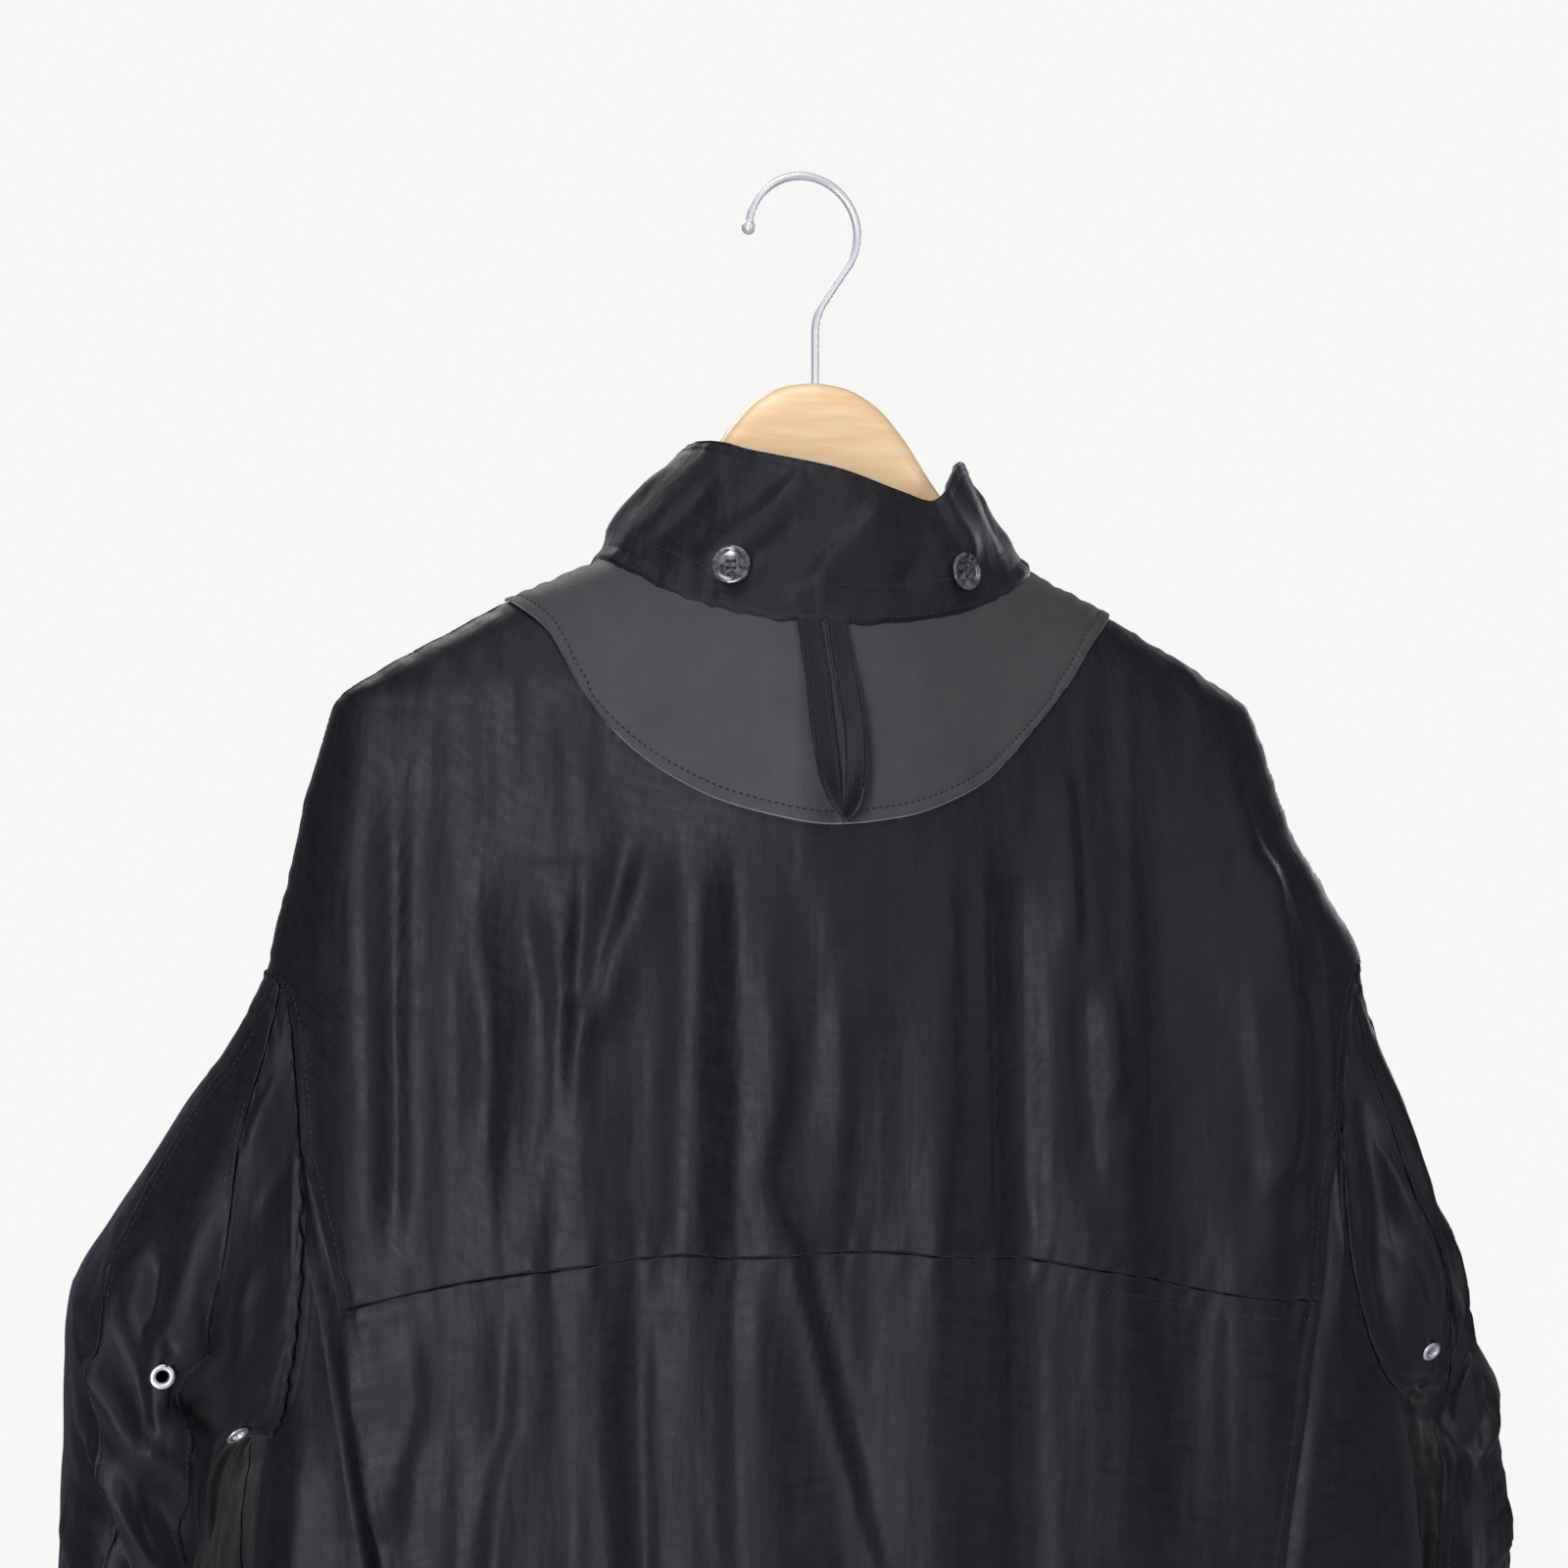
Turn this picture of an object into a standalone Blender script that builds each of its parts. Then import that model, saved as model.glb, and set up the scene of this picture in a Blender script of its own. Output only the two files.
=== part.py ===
"""Fishing jacket on a wooden hanger, seen as it hangs from the hanger's hook.

Metres in the scene, millimetres in the tables. +Z is up, the jacket's front faces -Y, the wearer's left is +X,
and the origin is the inside of the hook's top, where the hook is held.
"""

import math

import bpy
import numpy as np
from mathutils.bvhtree import BVHTree

MM = 0.001

# Cloth, leather and clearances, mm
CLOTH = 1.5
LEATHER = 1.6
COLLAR_CLOTH = 2.4
SEAM_GAP = 0.4
LAY_GAP = 0.5

# Jacket lengths, mm, heights measured down from the hook
NECK_SIDE_Z = -190.0
NECK_BACK_DROP = 30.0
NECK_FRONT_DROP = 65.0
ARMHOLE_TOP_Z = -384.0
UNDERARM_Z = -598.0
HEM_Z = -960.0
HANGER_X = -6.0
NECK_REACH = 95.0
EDGE_ROUND = 2.2

# Level sections of the body. Widths run from x = 0 to each side, depths from the hanger's plane to the back and to
# the front, in the middle and towards the sides. The lower body has turned on the hanger, by "twist" degrees.
BODY_COLUMNS = (
    "z", "left", "right", "twist", "back_mid", "back_side", "front_mid", "front_side", "square",
)
BODY = np.array([
    (-176, 78, 90, 0.0, 61, 25, 84, 25, 2.4),
    (-190, 101, 113, 0.0, 62, 27, 85, 27, 2.5),
    (-211, 146, 158, 0.0, 63, 29, 84, 29, 3.0),
    (-229, 180, 192, 0.0, 65, 31, 82, 31, 3.5),
    (-246, 209, 221, 0.0, 67, 32, 80, 32, 4.0),
    (-256, 223, 235, -0.5, 68, 33, 79, 33, 4.0),
    (-278, 231, 243, -1.5, 70, 36, 78, 36, 4.0),
    (-318, 241, 254, -3.0, 73, 42, 76, 42, 4.0),
    (-350, 248, 270, -4.5, 76, 48, 75, 47, 4.0),
    (-384, 256, 287, -5.5, 78, 53, 75, 52, 3.8),
    (-430, 264, 292, -6.5, 79, 58, 75, 56, 3.6),
    (-500, 268, 294, -7.5, 80, 62, 75, 60, 3.4),
    (-560, 264, 297, -8.3, 80, 64, 76, 62, 3.2),
    (-598, 258, 301, -8.8, 80, 65, 77, 63, 3.0),
    (-640, 263, 308, -9.0, 80, 66, 78, 64, 2.9),
    (-712, 268, 314, -9.0, 82, 67, 80, 66, 2.8),
    (-800, 274, 318, -9.0, 84, 70, 82, 68, 2.8),
    (-960, 282, 322, -9.0, 88, 74, 86, 72, 2.8),
])

# Folds of the body: where each starts and ends, its half width and how far it stands out (or sinks in, if negative)
FOLD_COLUMNS = ("x_top", "z_top", "x_bottom", "z_bottom", "width", "height")
BACK_FOLDS = np.array([
    (196, -262, 214, -640, 20, 5.0),
    (160, -300, 150, -700, 24, -4.0),
    (128, -330, 112, -820, 22, 4.5),
    (78, -330, 66, -960, 22, -4.0),
    (38, -330, 20, -960, 18, 4.5),
    (-2, -400, -30, -960, 18, -4.5),
    (-44, -330, -70, -960, 18, 4.5),
    (-88, -340, -104, -900, 22, -4.0),
    (-128, -320, -140, -760, 22, 4.0),
    (-168, -300, -178, -700, 22, -4.5),
    (-222, -268, -214, -640, 17, 6.0),
])
FRONT_FOLDS = np.array([
    (198, -262, 190, -700, 20, 5.0),
    (150, -280, 160, -800, 24, -4.0),
    (104, -300, 124, -960, 22, 4.5),
    (62, -330, 84, -960, 20, -4.0),
    (-66, -330, -92, -960, 20, 4.5),
    (-112, -290, -138, -960, 22, -4.0),
    (-158, -280, -178, -800, 22, 4.5),
    (-214, -268, -206, -700, 18, 5.0),
])

# Where the upper back, the leather and the pleats are cut, as x and z on the back
LEATHER_EDGE = np.array([
    (146, -211), (131, -225), (118, -250), (97, -276), (69, -296), (43, -307), (3, -314.5),
    (-30, -311.5), (-71, -297), (-99, -273), (-123, -248), (-140, -227), (-158, -211),
])
YOKE_SEAM = np.array([
    (220, -536), (194, -529), (166, -523.5), (135, -518), (100, -513), (66, -511), (21, -508.5),
    (-24, -509), (-72, -514), (-120, -521), (-154, -528), (-178, -535), (-200, -539), (-245, -545),
])
PLEAT_COLUMNS = ("z", "left", "right")
PLEAT = np.array([
    (-463, 238, 261),
    (-491, 230, 254),
    (-536, 220, 248),
    (-565, 215, 241),
    (-600, 209, 235),
    (-652, 199, 226),
    (-720, 188, 215),
    (-960, 172, 196),
])
PLEAT_UNDERLAP = 22.0
PLEAT_SINK = 5.0
PLEAT_SLOPE = 10.0

# Armhole: how far its back and front edges cut into the body, as a share of the half width
ARMHOLE_CUT = 0.11
ARMHOLE_STEP = 15.0
PLEAT_TOP_ANGLE = 75.0

# Sleeves: each row is one ring, by the outer and inner ends of its long axis, the middle's y and the half depth
SLEEVE_COLUMNS = ("outer_x", "outer_z", "inner_x", "inner_z", "y", "depth")
SLEEVES = {
    "left": np.array([
        (257, -384, 258, -598, -32, 38),
        (275, -420, 273, -605, -36, 52),
        (291, -445, 279, -618, -40, 62),
        (308, -473, 282, -636, -43, 70),
        (326, -501, 283, -654, -46, 76),
        (342, -528, 284, -670, -48, 79),
        (347, -556, 284, -688, -50, 80),
        (347, -590, 284, -706, -52, 78),
        (348, -628, 284, -730, -54, 75),
        (350, -672, 285, -756, -56, 72),
        (352, -725, 287, -786, -57, 68),
        (353, -785, 290, -818, -58, 63),
        (353, -845, 294, -845, -59, 57),
    ]),
    "right": np.array([
        (-286, -384, -299, -598, 36, 38),
        (-288, -412, -312, -600, 32, 44),
        (-292, -443, -318, -603, 27, 49),
        (-304, -477, -320, -607, 21, 53),
        (-320, -510, -321, -613, 15, 57),
        (-337, -550, -321, -624, 8, 60),
        (-358, -600, -321, -645, 1, 62),
        (-369, -655, -322, -685, -5, 63),
        (-379, -715, -324, -738, -10, 62),
        (-386, -780, -327, -792, -14, 60),
        (-391, -845, -331, -845, -18, 57),
    ]),
}
SIDES = {"left": 1.0, "right": -1.0}
ARMHOLE_BLEND = 0.18
# The left sleeve swings in before the body: how far its front inner quarter moves, by the share along the sleeve
SWING_COLUMNS = ("along", "x", "y")
SWING = {
    "left": np.array([(0.0, 0, 0), (0.10, -34, -12), (0.30, -40, -14), (0.60, -38, -12), (0.85, -20, -6), (1.0, -8, -2)]),
    "right": np.array([(0.0, 0, 0), (1.0, 0, 0)]),
}
SWING_ANGLE = 228.0
SWING_WIDTH = 38.0
# Seams of the three sleeve panels, degrees round the sleeve from its outer line towards the back
SEAM_COLUMNS = ("along", "outer_seam", "back_seam")
SLEEVE_SEAMS = np.array([
    (0.0, 8, 16), (0.08, 11, 50), (0.13, 14, 88), (0.22, 19, 108), (0.31, 28, 120),
    (0.40, 56, 130), (0.55, 70, 138), (1.0, 66, 140),
])
UNDERARM_SEAM = 195.0
SLEEVE_FOLD_COLUMNS = ("s_top", "a_top", "s_bottom", "a_bottom", "s_width", "a_width", "height")
SLEEVE_FOLDS = {
    "left": np.array([
        (0.10, 60, 0.36, 120, 0.07, 26, 3.5),
        (0.16, 30, 0.40, 85, 0.07, 24, -4.0),
        (0.34, 40, 0.50, 140, 0.07, 30, 5.5),
        (0.52, 30, 0.66, 160, 0.07, 30, -4.5),
        (0.30, -60, 0.52, -140, 0.08, 30, 4.5),
        (0.62, -40, 0.74, 140, 0.07, 34, 3.0),
        (0.80, 40, 0.90, -120, 0.06, 34, 2.5),
    ]),
    "right": np.array([
        (0.14, 95, 0.40, 150, 0.08, 30, 1.5),
        (0.36, 50, 0.50, 140, 0.07, 32, 3.0),
        (0.52, 30, 0.64, 160, 0.07, 30, -3.0),
        (0.44, -60, 0.60, -140, 0.08, 32, 3.0),
        (0.66, -40, 0.76, 140, 0.07, 34, 3.0),
        (0.84, 40, 0.92, -120, 0.06, 34, 2.5),
    ]),
}
SLEEVE_ROWS = 16
CUFF_SIDES = 24
CUFF_LENGTH = 50.0
CUFF_LIFT = 0.5

# Collar: its top edge, by the angle round the neck (0 at the middle of the back, + to the left), as a share of the
# neck's size and a height
COLLAR_COLUMNS = ("angle", "share", "top_z", "bulge")
COLLAR = np.array([
    (-180, 0.86, -190, 4), (-150, 0.84, -174, 4), (-120, 0.78, -154, 1), (-98, 0.73, -142, -3), (-82, 0.72, -138, -4),
    (-68, 0.735, -138, -3), (-58, 0.77, -146, 1), (-49, 0.80, -157, 4), (-40, 0.815, -160, 6), (-24, 0.80, -154, 6),
    (0, 0.77, -147, 5), (30, 0.70, -139, 5), (48, 0.65, -134, 5), (70, 0.61, -132, 5), (90, 0.60, -133, 5),
    (120, 0.72, -148, 5), (150, 0.82, -172, 4), (180, 0.86, -190, 4),
])

# Buttons, mm
BUTTON_RADIUS = 9.0
BUTTON_RIM = 1.6
BUTTON_THICK = 3.2
COLLAR_BUTTONS = {"left": (30, 0.25), "right": (-34, 0.33)}
PLACKET_HALF = 27.0
FRONT_BUTTON_Z = (-300, -420, -540, -660, -780, -900)

# Eyelets, mm, each set through one panel of a sleeve, at (panel, share along the sleeve, degrees round it)
EYELET_RADIUS = 5.4
EYELET_HOLE = 2.3
EYELET_BARREL = 3.0
EYELET_LIFT = 0.7
CLOTH_HOLE = 3.7
EYELETS = {
    "left": (("back", 0.30, 81), ("under", 0.10, 140)),
    "right": (("under", 0.12, 140), ("under", 0.085, 168)),
}

# Hanger loop: middle line on the back as x, z and the distance off the leather, and the tape's turn
LOOP_COLUMNS = ("x", "z", "off", "turn")
LOOP = np.array([
    (15.5, -223, 0.55, 0), (15.5, -240, 1.4, 3), (14.5, -258, 2.8, 8), (11.5, -280, 4.6, 20), (7, -298, 6.5, 46),
    (1.5, -309, 8.2, 78), (-4, -313, 8.8, 92), (-7.5, -307, 8.4, 112), (-8.5, -293, 7.6, 136),
    (-7.5, -277, 6.4, 154), (-5, -259, 4.4, 167), (-1.5, -241, 2.2, 175), (1, -223, 0.3, 180),
])
TAPE_WIDTH = 12.0
TAPE_THICK = 1.4

# Hanger: offset from its middle, top, bottom and half depth; beyond the neck its top follows the shoulders
HANGER_COLUMNS = ("offset", "top", "bottom", "depth")
HANGER = np.array([
    (0, -99, -170, 8), (14, -101, -172, 8), (30, -109, -176, 8), (44, -124, -181, 9), (58, -145, -187, 10),
    (74, -166, -196, 12), (92, -184, -208, 13), (112, -197, -221, 14), (150, -213.5, -241, 13),
    (185, -233, -262, 12), (205, -245.5, -272, 10.5), (215, -253, -274, 8), (221, -261, -272, 4.5),
])

# Hook, mm: wire radius, loop radius, ball at its end, and the bend down to the wood
WIRE = 2.0
HOOK_RADIUS = 27.5
HOOK_BALL = 3.4
HOOK_BEND_Z = -66.0

COLOURS = {
    "shell cloth": ((0.012, 0.012, 0.015), 0.62, 0.0),
    "collar cloth": ((0.008, 0.008, 0.012), 0.75, 0.0),
    "leather": ((0.075, 0.075, 0.078), 0.55, 0.0),
    "button horn": ((0.16, 0.16, 0.17), 0.2, 0.0),
    "eyelet metal": ((0.75, 0.77, 0.82), 0.35, 0.6),
    "beech": ((0.72, 0.46, 0.24), 0.45, 0.0),
    "chrome": ((0.8, 0.81, 0.84), 0.12, 1.0),
}


def monotone(xs, ys, at):
    """A smooth curve through the points (xs, ys) that never overshoots them."""
    order = np.argsort(xs)
    x, y = np.asarray(xs, float)[order], np.asarray(ys, float)[order]
    gap = np.diff(x)
    slope = np.diff(y) / gap
    same_way = slope[:-1] * slope[1:] > 0
    tangent = np.zeros_like(y)
    tangent[0], tangent[-1] = slope[0], slope[-1]
    tangent[1:-1] = np.where(
        same_way, 2 * slope[:-1] * slope[1:] / np.where(same_way, slope[:-1] + slope[1:], 1), 0
    )
    at = np.clip(at, x[0], x[-1])
    i = np.clip(np.searchsorted(x, at) - 1, 0, len(gap) - 1)
    s = (at - x[i]) / gap[i]
    return (
        y[i] * (1 + 2 * s) * (1 - s) ** 2
        + y[i + 1] * s * s * (3 - 2 * s)
        + gap[i] * (tangent[i] * s * (1 - s) ** 2 - tangent[i + 1] * s * s * (1 - s))
    )


def column(table, columns, name, at):
    """One named column of a table, read smoothly at a value of its first column."""
    return monotone(table[:, 0], table[:, columns.index(name)], at)


def body_column(name, z):
    return column(BODY, BODY_COLUMNS, name, z)


def half_width(x_sign, z):
    return np.where(x_sign >= 0, body_column("left", z), body_column("right", z))


def fold_heights(table, x, z):
    """How far all the folds of a table move the cloth out at x, z."""
    total = np.zeros(np.broadcast(x, z).shape)
    for x_top, z_top, x_bottom, z_bottom, width, height in table:
        s = np.clip((z_top - z) / (z_top - z_bottom), 0, 1)
        middle = x_top + (x_bottom - x_top) * s
        fade = np.clip(4 * s * (1 - s), 0, 1) ** 0.5 if z_bottom > HEM_Z else np.clip(3 * s, 0, 1)
        total += height * fade * np.exp(-(((x - middle) / width) ** 2))
    return total


def body(theta, z):
    """Outer face of the body. theta is degrees round it, 0 at the middle of the back, + to the left, 180 in front."""
    theta, z = np.broadcast_arrays(np.asarray(theta, float), np.asarray(z, float))
    q = np.sin(np.radians(theta))
    is_back = np.cos(np.radians(theta)) >= 0
    x = q * half_width(q, z)
    mid = np.where(is_back, body_column("back_mid", z), body_column("front_mid", z))
    side = np.where(is_back, body_column("back_side", z), body_column("front_side", z))
    edge = np.clip(1 - np.abs(q) ** body_column("square", z), 0, 1) ** (1 / EDGE_ROUND)
    folds = np.where(is_back, fold_heights(BACK_FOLDS, x, z), fold_heights(FRONT_FOLDS, x, z))
    depth = side + (mid - side) * np.exp(-((x / NECK_REACH) ** 2)) + folds
    y = np.where(is_back, depth, -depth) * edge
    twist = np.radians(body_column("twist", z))
    arm = x - HANGER_X
    return np.stack(
        [HANGER_X + arm * np.cos(twist) - y * np.sin(twist), arm * np.sin(twist) + y * np.cos(twist), z], -1
    )


def theta_at(x, z, in_front=False):
    """Degrees round the body of the point at x, before the body's twist, and z."""
    theta = np.degrees(np.arcsin(np.clip(x / half_width(x, z), -1, 1)))
    return np.where(x >= 0, 180 - theta, -180 - theta) if in_front else theta


def neckline(angle):
    """theta and z of the neck seam, by the angle round the neck."""
    across = np.sin(np.radians(angle))
    in_front = np.abs(angle) > 90
    drop = np.where(in_front, NECK_FRONT_DROP, NECK_BACK_DROP)
    z = NECK_SIDE_Z - drop * (1 - np.abs(across) ** 2.5)
    x = across * half_width(across, NECK_SIDE_Z)
    return np.where(in_front, theta_at(x, z, True), theta_at(x, z)), z


def armhole(sign, angle):
    """theta and z of the armhole seam: angle 0 at the shoulder, 90 at the back, 180 under the arm, 270 in front."""
    c = np.cos(np.radians(angle))
    z = (ARMHOLE_TOP_Z + UNDERARM_Z) / 2 + (ARMHOLE_TOP_Z - UNDERARM_Z) / 2 * c
    cut = ARMHOLE_CUT * np.clip(1 - c * c, 0, 1) ** 0.5
    theta = np.degrees(np.arcsin(1 - cut))
    return sign * np.where(np.sin(np.radians(angle)) >= 0, theta, 180 - theta), z


def normals(surface, a, b, step_a, step_b, sign):
    """Unit normals of a surface(a, b); sign turns them to its outer side."""
    across = surface(a + step_a, b) - surface(a - step_a, b)
    along = surface(a, b + step_b) - surface(a, b - step_b)
    n = np.cross(across, along) * sign
    return n / np.maximum(np.linalg.norm(n, axis=-1, keepdims=True), 1e-9)


def body_normals(theta, z):
    return normals(body, theta, z, 0.5, 0.8, -1.0)


def material(name):
    made = bpy.data.materials.get(name)
    if made is None:
        colour, roughness, metallic = COLOURS[name]
        made = bpy.data.materials.new(name)
        made.use_nodes = True
        shader = made.node_tree.nodes["Principled BSDF"]
        shader.inputs["Base Color"].default_value = (*colour, 1)
        shader.inputs["Roughness"].default_value = roughness
        shader.inputs["Metallic"].default_value = metallic
    return made


def add_object(name, points, faces, material_name):
    mesh = bpy.data.meshes.new(name)
    mesh.from_pydata((np.asarray(points) * MM).tolist(), [], faces)
    mesh.materials.append(material(material_name))
    mesh.shade_smooth()
    mesh.set_sharp_from_angle(angle=math.radians(40))
    made = bpy.data.objects.new(name, mesh)
    bpy.context.scene.collection.objects.link(made)
    return made


def pulled_in(grid, normal):
    """The grid with its border moved in by half the seam gap, so that neighbours stay apart."""
    out = grid.copy()
    borders = [
        ((0, slice(None)), grid[1] - grid[0]), ((-1, slice(None)), grid[-2] - grid[-1]),
        ((slice(None), 0), grid[:, 1] - grid[:, 0]), ((slice(None), -1), grid[:, -2] - grid[:, -1]),
    ]
    for where, inward in borders:
        square = np.cross(normal[where], np.gradient(grid[where], axis=0))
        square *= np.sign(np.sum(square * inward))
        out[where] += square / np.maximum(np.linalg.norm(square, axis=-1, keepdims=True), 1e-9) * SEAM_GAP / 2
    return out


def wall(name, grid, normal, thickness, material_name, lift=0.0, round_=False):
    """A cloth wall whose outer face is the grid, rows by columns, moved out by lift."""
    face = grid + normal * lift
    rows, cols = face.shape[:2]
    points = np.concatenate([face.reshape(-1, 3), (face - normal * thickness).reshape(-1, 3)])
    inner = rows * cols
    spans = cols if round_ else cols - 1

    def at(i, j):
        return i * cols + j % cols

    faces = []
    flat = grid.reshape(-1, 3)
    for i in range(rows - 1):
        for j in range(spans):
            a, b, c, d = at(i, j), at(i, j + 1), at(i + 1, j + 1), at(i + 1, j)
            if np.linalg.norm(flat[a] - flat[c]) > np.linalg.norm(flat[b] - flat[d]):
                a, b, c, d = b, c, d, a
            # The outer and inner faces are split along the same diagonal, so that they stay one thickness apart
            faces += [(a, b, c), (a, c, d), (inner + c, inner + b, inner + a), (inner + d, inner + c, inner + a)]
    border = [(at(i, j + 1), at(i, j)) if i == 0 else (at(i, j), at(i, j + 1))
              for j in range(spans) for i in (0, rows - 1)]
    if not round_:
        border += [(at(i, 0), at(i + 1, 0)) for i in range(rows - 1)]
        border += [(at(i + 1, cols - 1), at(i, cols - 1)) for i in range(rows - 1)]
    for a, b in border:
        # Each edge is split from its upper outer corner, as on the piece across the seam
        if flat[a][2] > flat[b][2]:
            faces += [(a, b, inner + b), (a, inner + b, inner + a)]
        else:
            faces += [(a, b, inner + a), (b, inner + b, inner + a)]
    corners = face.reshape(-1, 3)
    a, b, c = (corners[k] for k in faces[0][:3])
    if np.dot(np.cross(b - a, c - a), normal.reshape(-1, 3)[0]) < 0:
        faces = [tuple(reversed(f)) for f in faces]
    return add_object(name, points, faces, material_name)


def tube(name, rings, material_name):
    """A closed solid through rings of points, with flat ends."""
    rings = np.asarray(rings)
    count, around = rings.shape[:2]
    faces = [tuple(range(around))[::-1], tuple(range((count - 1) * around, count * around))]
    for i in range(count - 1):
        for j in range(around):
            k = (j + 1) % around
            faces.append((i * around + j, i * around + k, (i + 1) * around + k, (i + 1) * around + j))
    points = rings.reshape(-1, 3)
    a, b, c = (points[k] for k in faces[0][:3])
    if np.dot(np.cross(b - a, c - a), a - rings[1].mean(0)) < 0:
        faces = [tuple(reversed(f)) for f in faces]
    return add_object(name, points, faces, material_name)


def along_curve(curve, count):
    """count points along a curve of x, z points, spaced half by length and half by the angle round the body."""
    fine = np.linspace(0, len(curve) - 1, 400)
    steps = np.arange(len(curve))
    x, z = monotone(steps, curve[:, 0], fine), monotone(steps, curve[:, 1], fine)
    theta = theta_at(x, z)
    length = np.concatenate([[0], np.cumsum(np.hypot(np.diff(x), np.diff(z)))])
    turn = np.concatenate([[0], np.cumsum(np.abs(np.diff(theta)))])
    share = 0.65 * length / length[-1] + 0.35 * turn / turn[-1]
    at = np.linspace(0, 1, count)
    return np.stack([np.interp(at, share, theta), np.interp(at, share, z)], -1)


def share_of(line, k):
    """How far along a border each of its points is, by its own coordinate k."""
    return (line[:, k] - line[0, k]) / (line[-1, k] - line[0, k])


def evened(v):
    """The same run of shares with its close and wide steps evened out against their neighbours."""
    v = v.copy()
    for _ in range(12):
        v[1:-1] = (v[:-2] + 2 * v[1:-1] + v[2:]) / 4
    return v


def grid_between(top, bottom, left, right):
    """A grid of (theta, z) between four borders, whose rows and columns never cross."""
    u = np.linspace(0, 1, len(top))[None, :]
    v = (1 - u) * share_of(left, 1)[:, None] + u * share_of(right, 1)[:, None]
    v = v + (evened(v) - v) * np.clip(6 * u * (1 - u), 0, 1)
    c = (1 - v) * share_of(top, 0)[None, :] + v * share_of(bottom, 0)[None, :]
    theta = left[:, :1] + (right[:, :1] - left[:, :1]) * c
    z = top[None, :, 1] + (bottom[None, :, 1] - top[None, :, 1]) * v
    return np.stack([theta, z], -1)


LEATHER_ROWS = 4
SHOULDER_Z = np.array([-190, -195, -200, -205.5, -211, -221, -233, -246, -256, -270, -292, -320, -350, -384.0])
BACK_COLUMNS = 29
SIDE_Z = np.linspace(UNDERARM_Z, HEM_Z, 10)


def shoulder_border(sign, z):
    return np.stack([np.full(len(z), 90.0 * sign), z], -1)


def armhole_border(sign, angles):
    theta, z = armhole(sign, np.asarray(angles, float))
    return np.stack([theta, z], -1)


def pleat_x(sign, z):
    return sign * column(PLEAT, PLEAT_COLUMNS, "left" if sign > 0 else "right", z)


def pleat_border(sign, z):
    return np.stack([theta_at(pleat_x(sign, z), z), z], -1)


def back_yoke_grid():
    """(theta, z) of the upper back: the neck seam, the leather's edge and the yoke seam are rows of it."""
    angles = np.linspace(90, -90, BACK_COLUMNS)
    neck = np.stack(neckline(angles), -1)
    edge = along_curve(LEATHER_EDGE, BACK_COLUMNS)
    edge[0, 0], edge[-1, 0] = 90, -90
    seam = along_curve(YOKE_SEAM, BACK_COLUMNS)
    under_leather = [neck + (edge - neck) * k / LEATHER_ROWS for k in range(LEATHER_ROWS)]
    borders = []
    for sign, corner in ((1, seam[0]), (-1, seam[-1])):
        pleat_z = np.linspace(armhole(sign, PLEAT_TOP_ANGLE)[1], corner[1], 4)
        pleat = pleat_border(sign, pleat_z)
        pleat[-1] = corner
        borders.append(np.concatenate([
            shoulder_border(sign, SHOULDER_Z[LEATHER_ROWS:-1]),
            armhole_border(sign, np.arange(0, PLEAT_TOP_ANGLE, ARMHOLE_STEP)),
            armhole_border(sign, [PLEAT_TOP_ANGLE]),
            pleat[1:],
        ]))
    return np.concatenate([np.array(under_leather), grid_between(edge, seam, *borders)])


def back_lower_grid():
    """(theta, z) of the lower back, between the two pleats."""
    seam = along_curve(YOKE_SEAM, BACK_COLUMNS)
    rows = 9
    left = np.linspace(seam[0, 1], HEM_Z, rows)
    right = np.linspace(seam[-1, 1], HEM_Z, rows)
    hem_x = np.linspace(pleat_x(1, HEM_Z), pleat_x(-1, HEM_Z), BACK_COLUMNS)
    hem = np.stack([theta_at(hem_x, HEM_Z), np.full(BACK_COLUMNS, HEM_Z)], -1)
    borders = [pleat_border(1, left), pleat_border(-1, right)]
    borders[0][0], borders[1][0] = seam[0], seam[-1]
    return grid_between(seam, hem, *borders)


def back_side_grid(sign):
    """(theta, z) and the sink of a side panel, from under the pleat to the armhole and the side seam."""
    border = np.concatenate([
        armhole_border(sign, [PLEAT_TOP_ANGLE + 4]),
        armhole_border(sign, np.arange(PLEAT_TOP_ANGLE + ARMHOLE_STEP, 180, ARMHOLE_STEP)),
        shoulder_border(sign, SIDE_Z),
    ])
    z = border[:, 1]
    edge = np.abs(pleat_x(sign, z))
    reach = np.abs(np.sin(np.radians(border[:, 0]))) * half_width(sign, z) - edge
    step = np.minimum(reach * 0.4, 1.0)
    near = [-PLEAT_UNDERLAP, -PLEAT_UNDERLAP / 2, -2.0, step, np.minimum(reach * 0.7, PLEAT_SLOPE)]
    theta = [theta_at(sign * (edge + x), z) for x in near]
    theta += [theta[-1] + (border[:, 0] - theta[-1]) * share for share in (0.33, 0.67, 1.0)]
    theta = np.stack(theta, 1)
    sink = np.zeros(theta.shape)
    sink[:, :2] = PLEAT_SINK
    sink[:, 2] = np.minimum(PLEAT_SINK, 2.4 + 0.3 * reach)
    sink[:, 3] = np.minimum(PLEAT_SINK, 2.5 + 0.3 * reach)
    sink[:, 4] = sink[:, 3] * 0.15
    return theta, np.broadcast_to(z[:, None], theta.shape), sink


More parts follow.
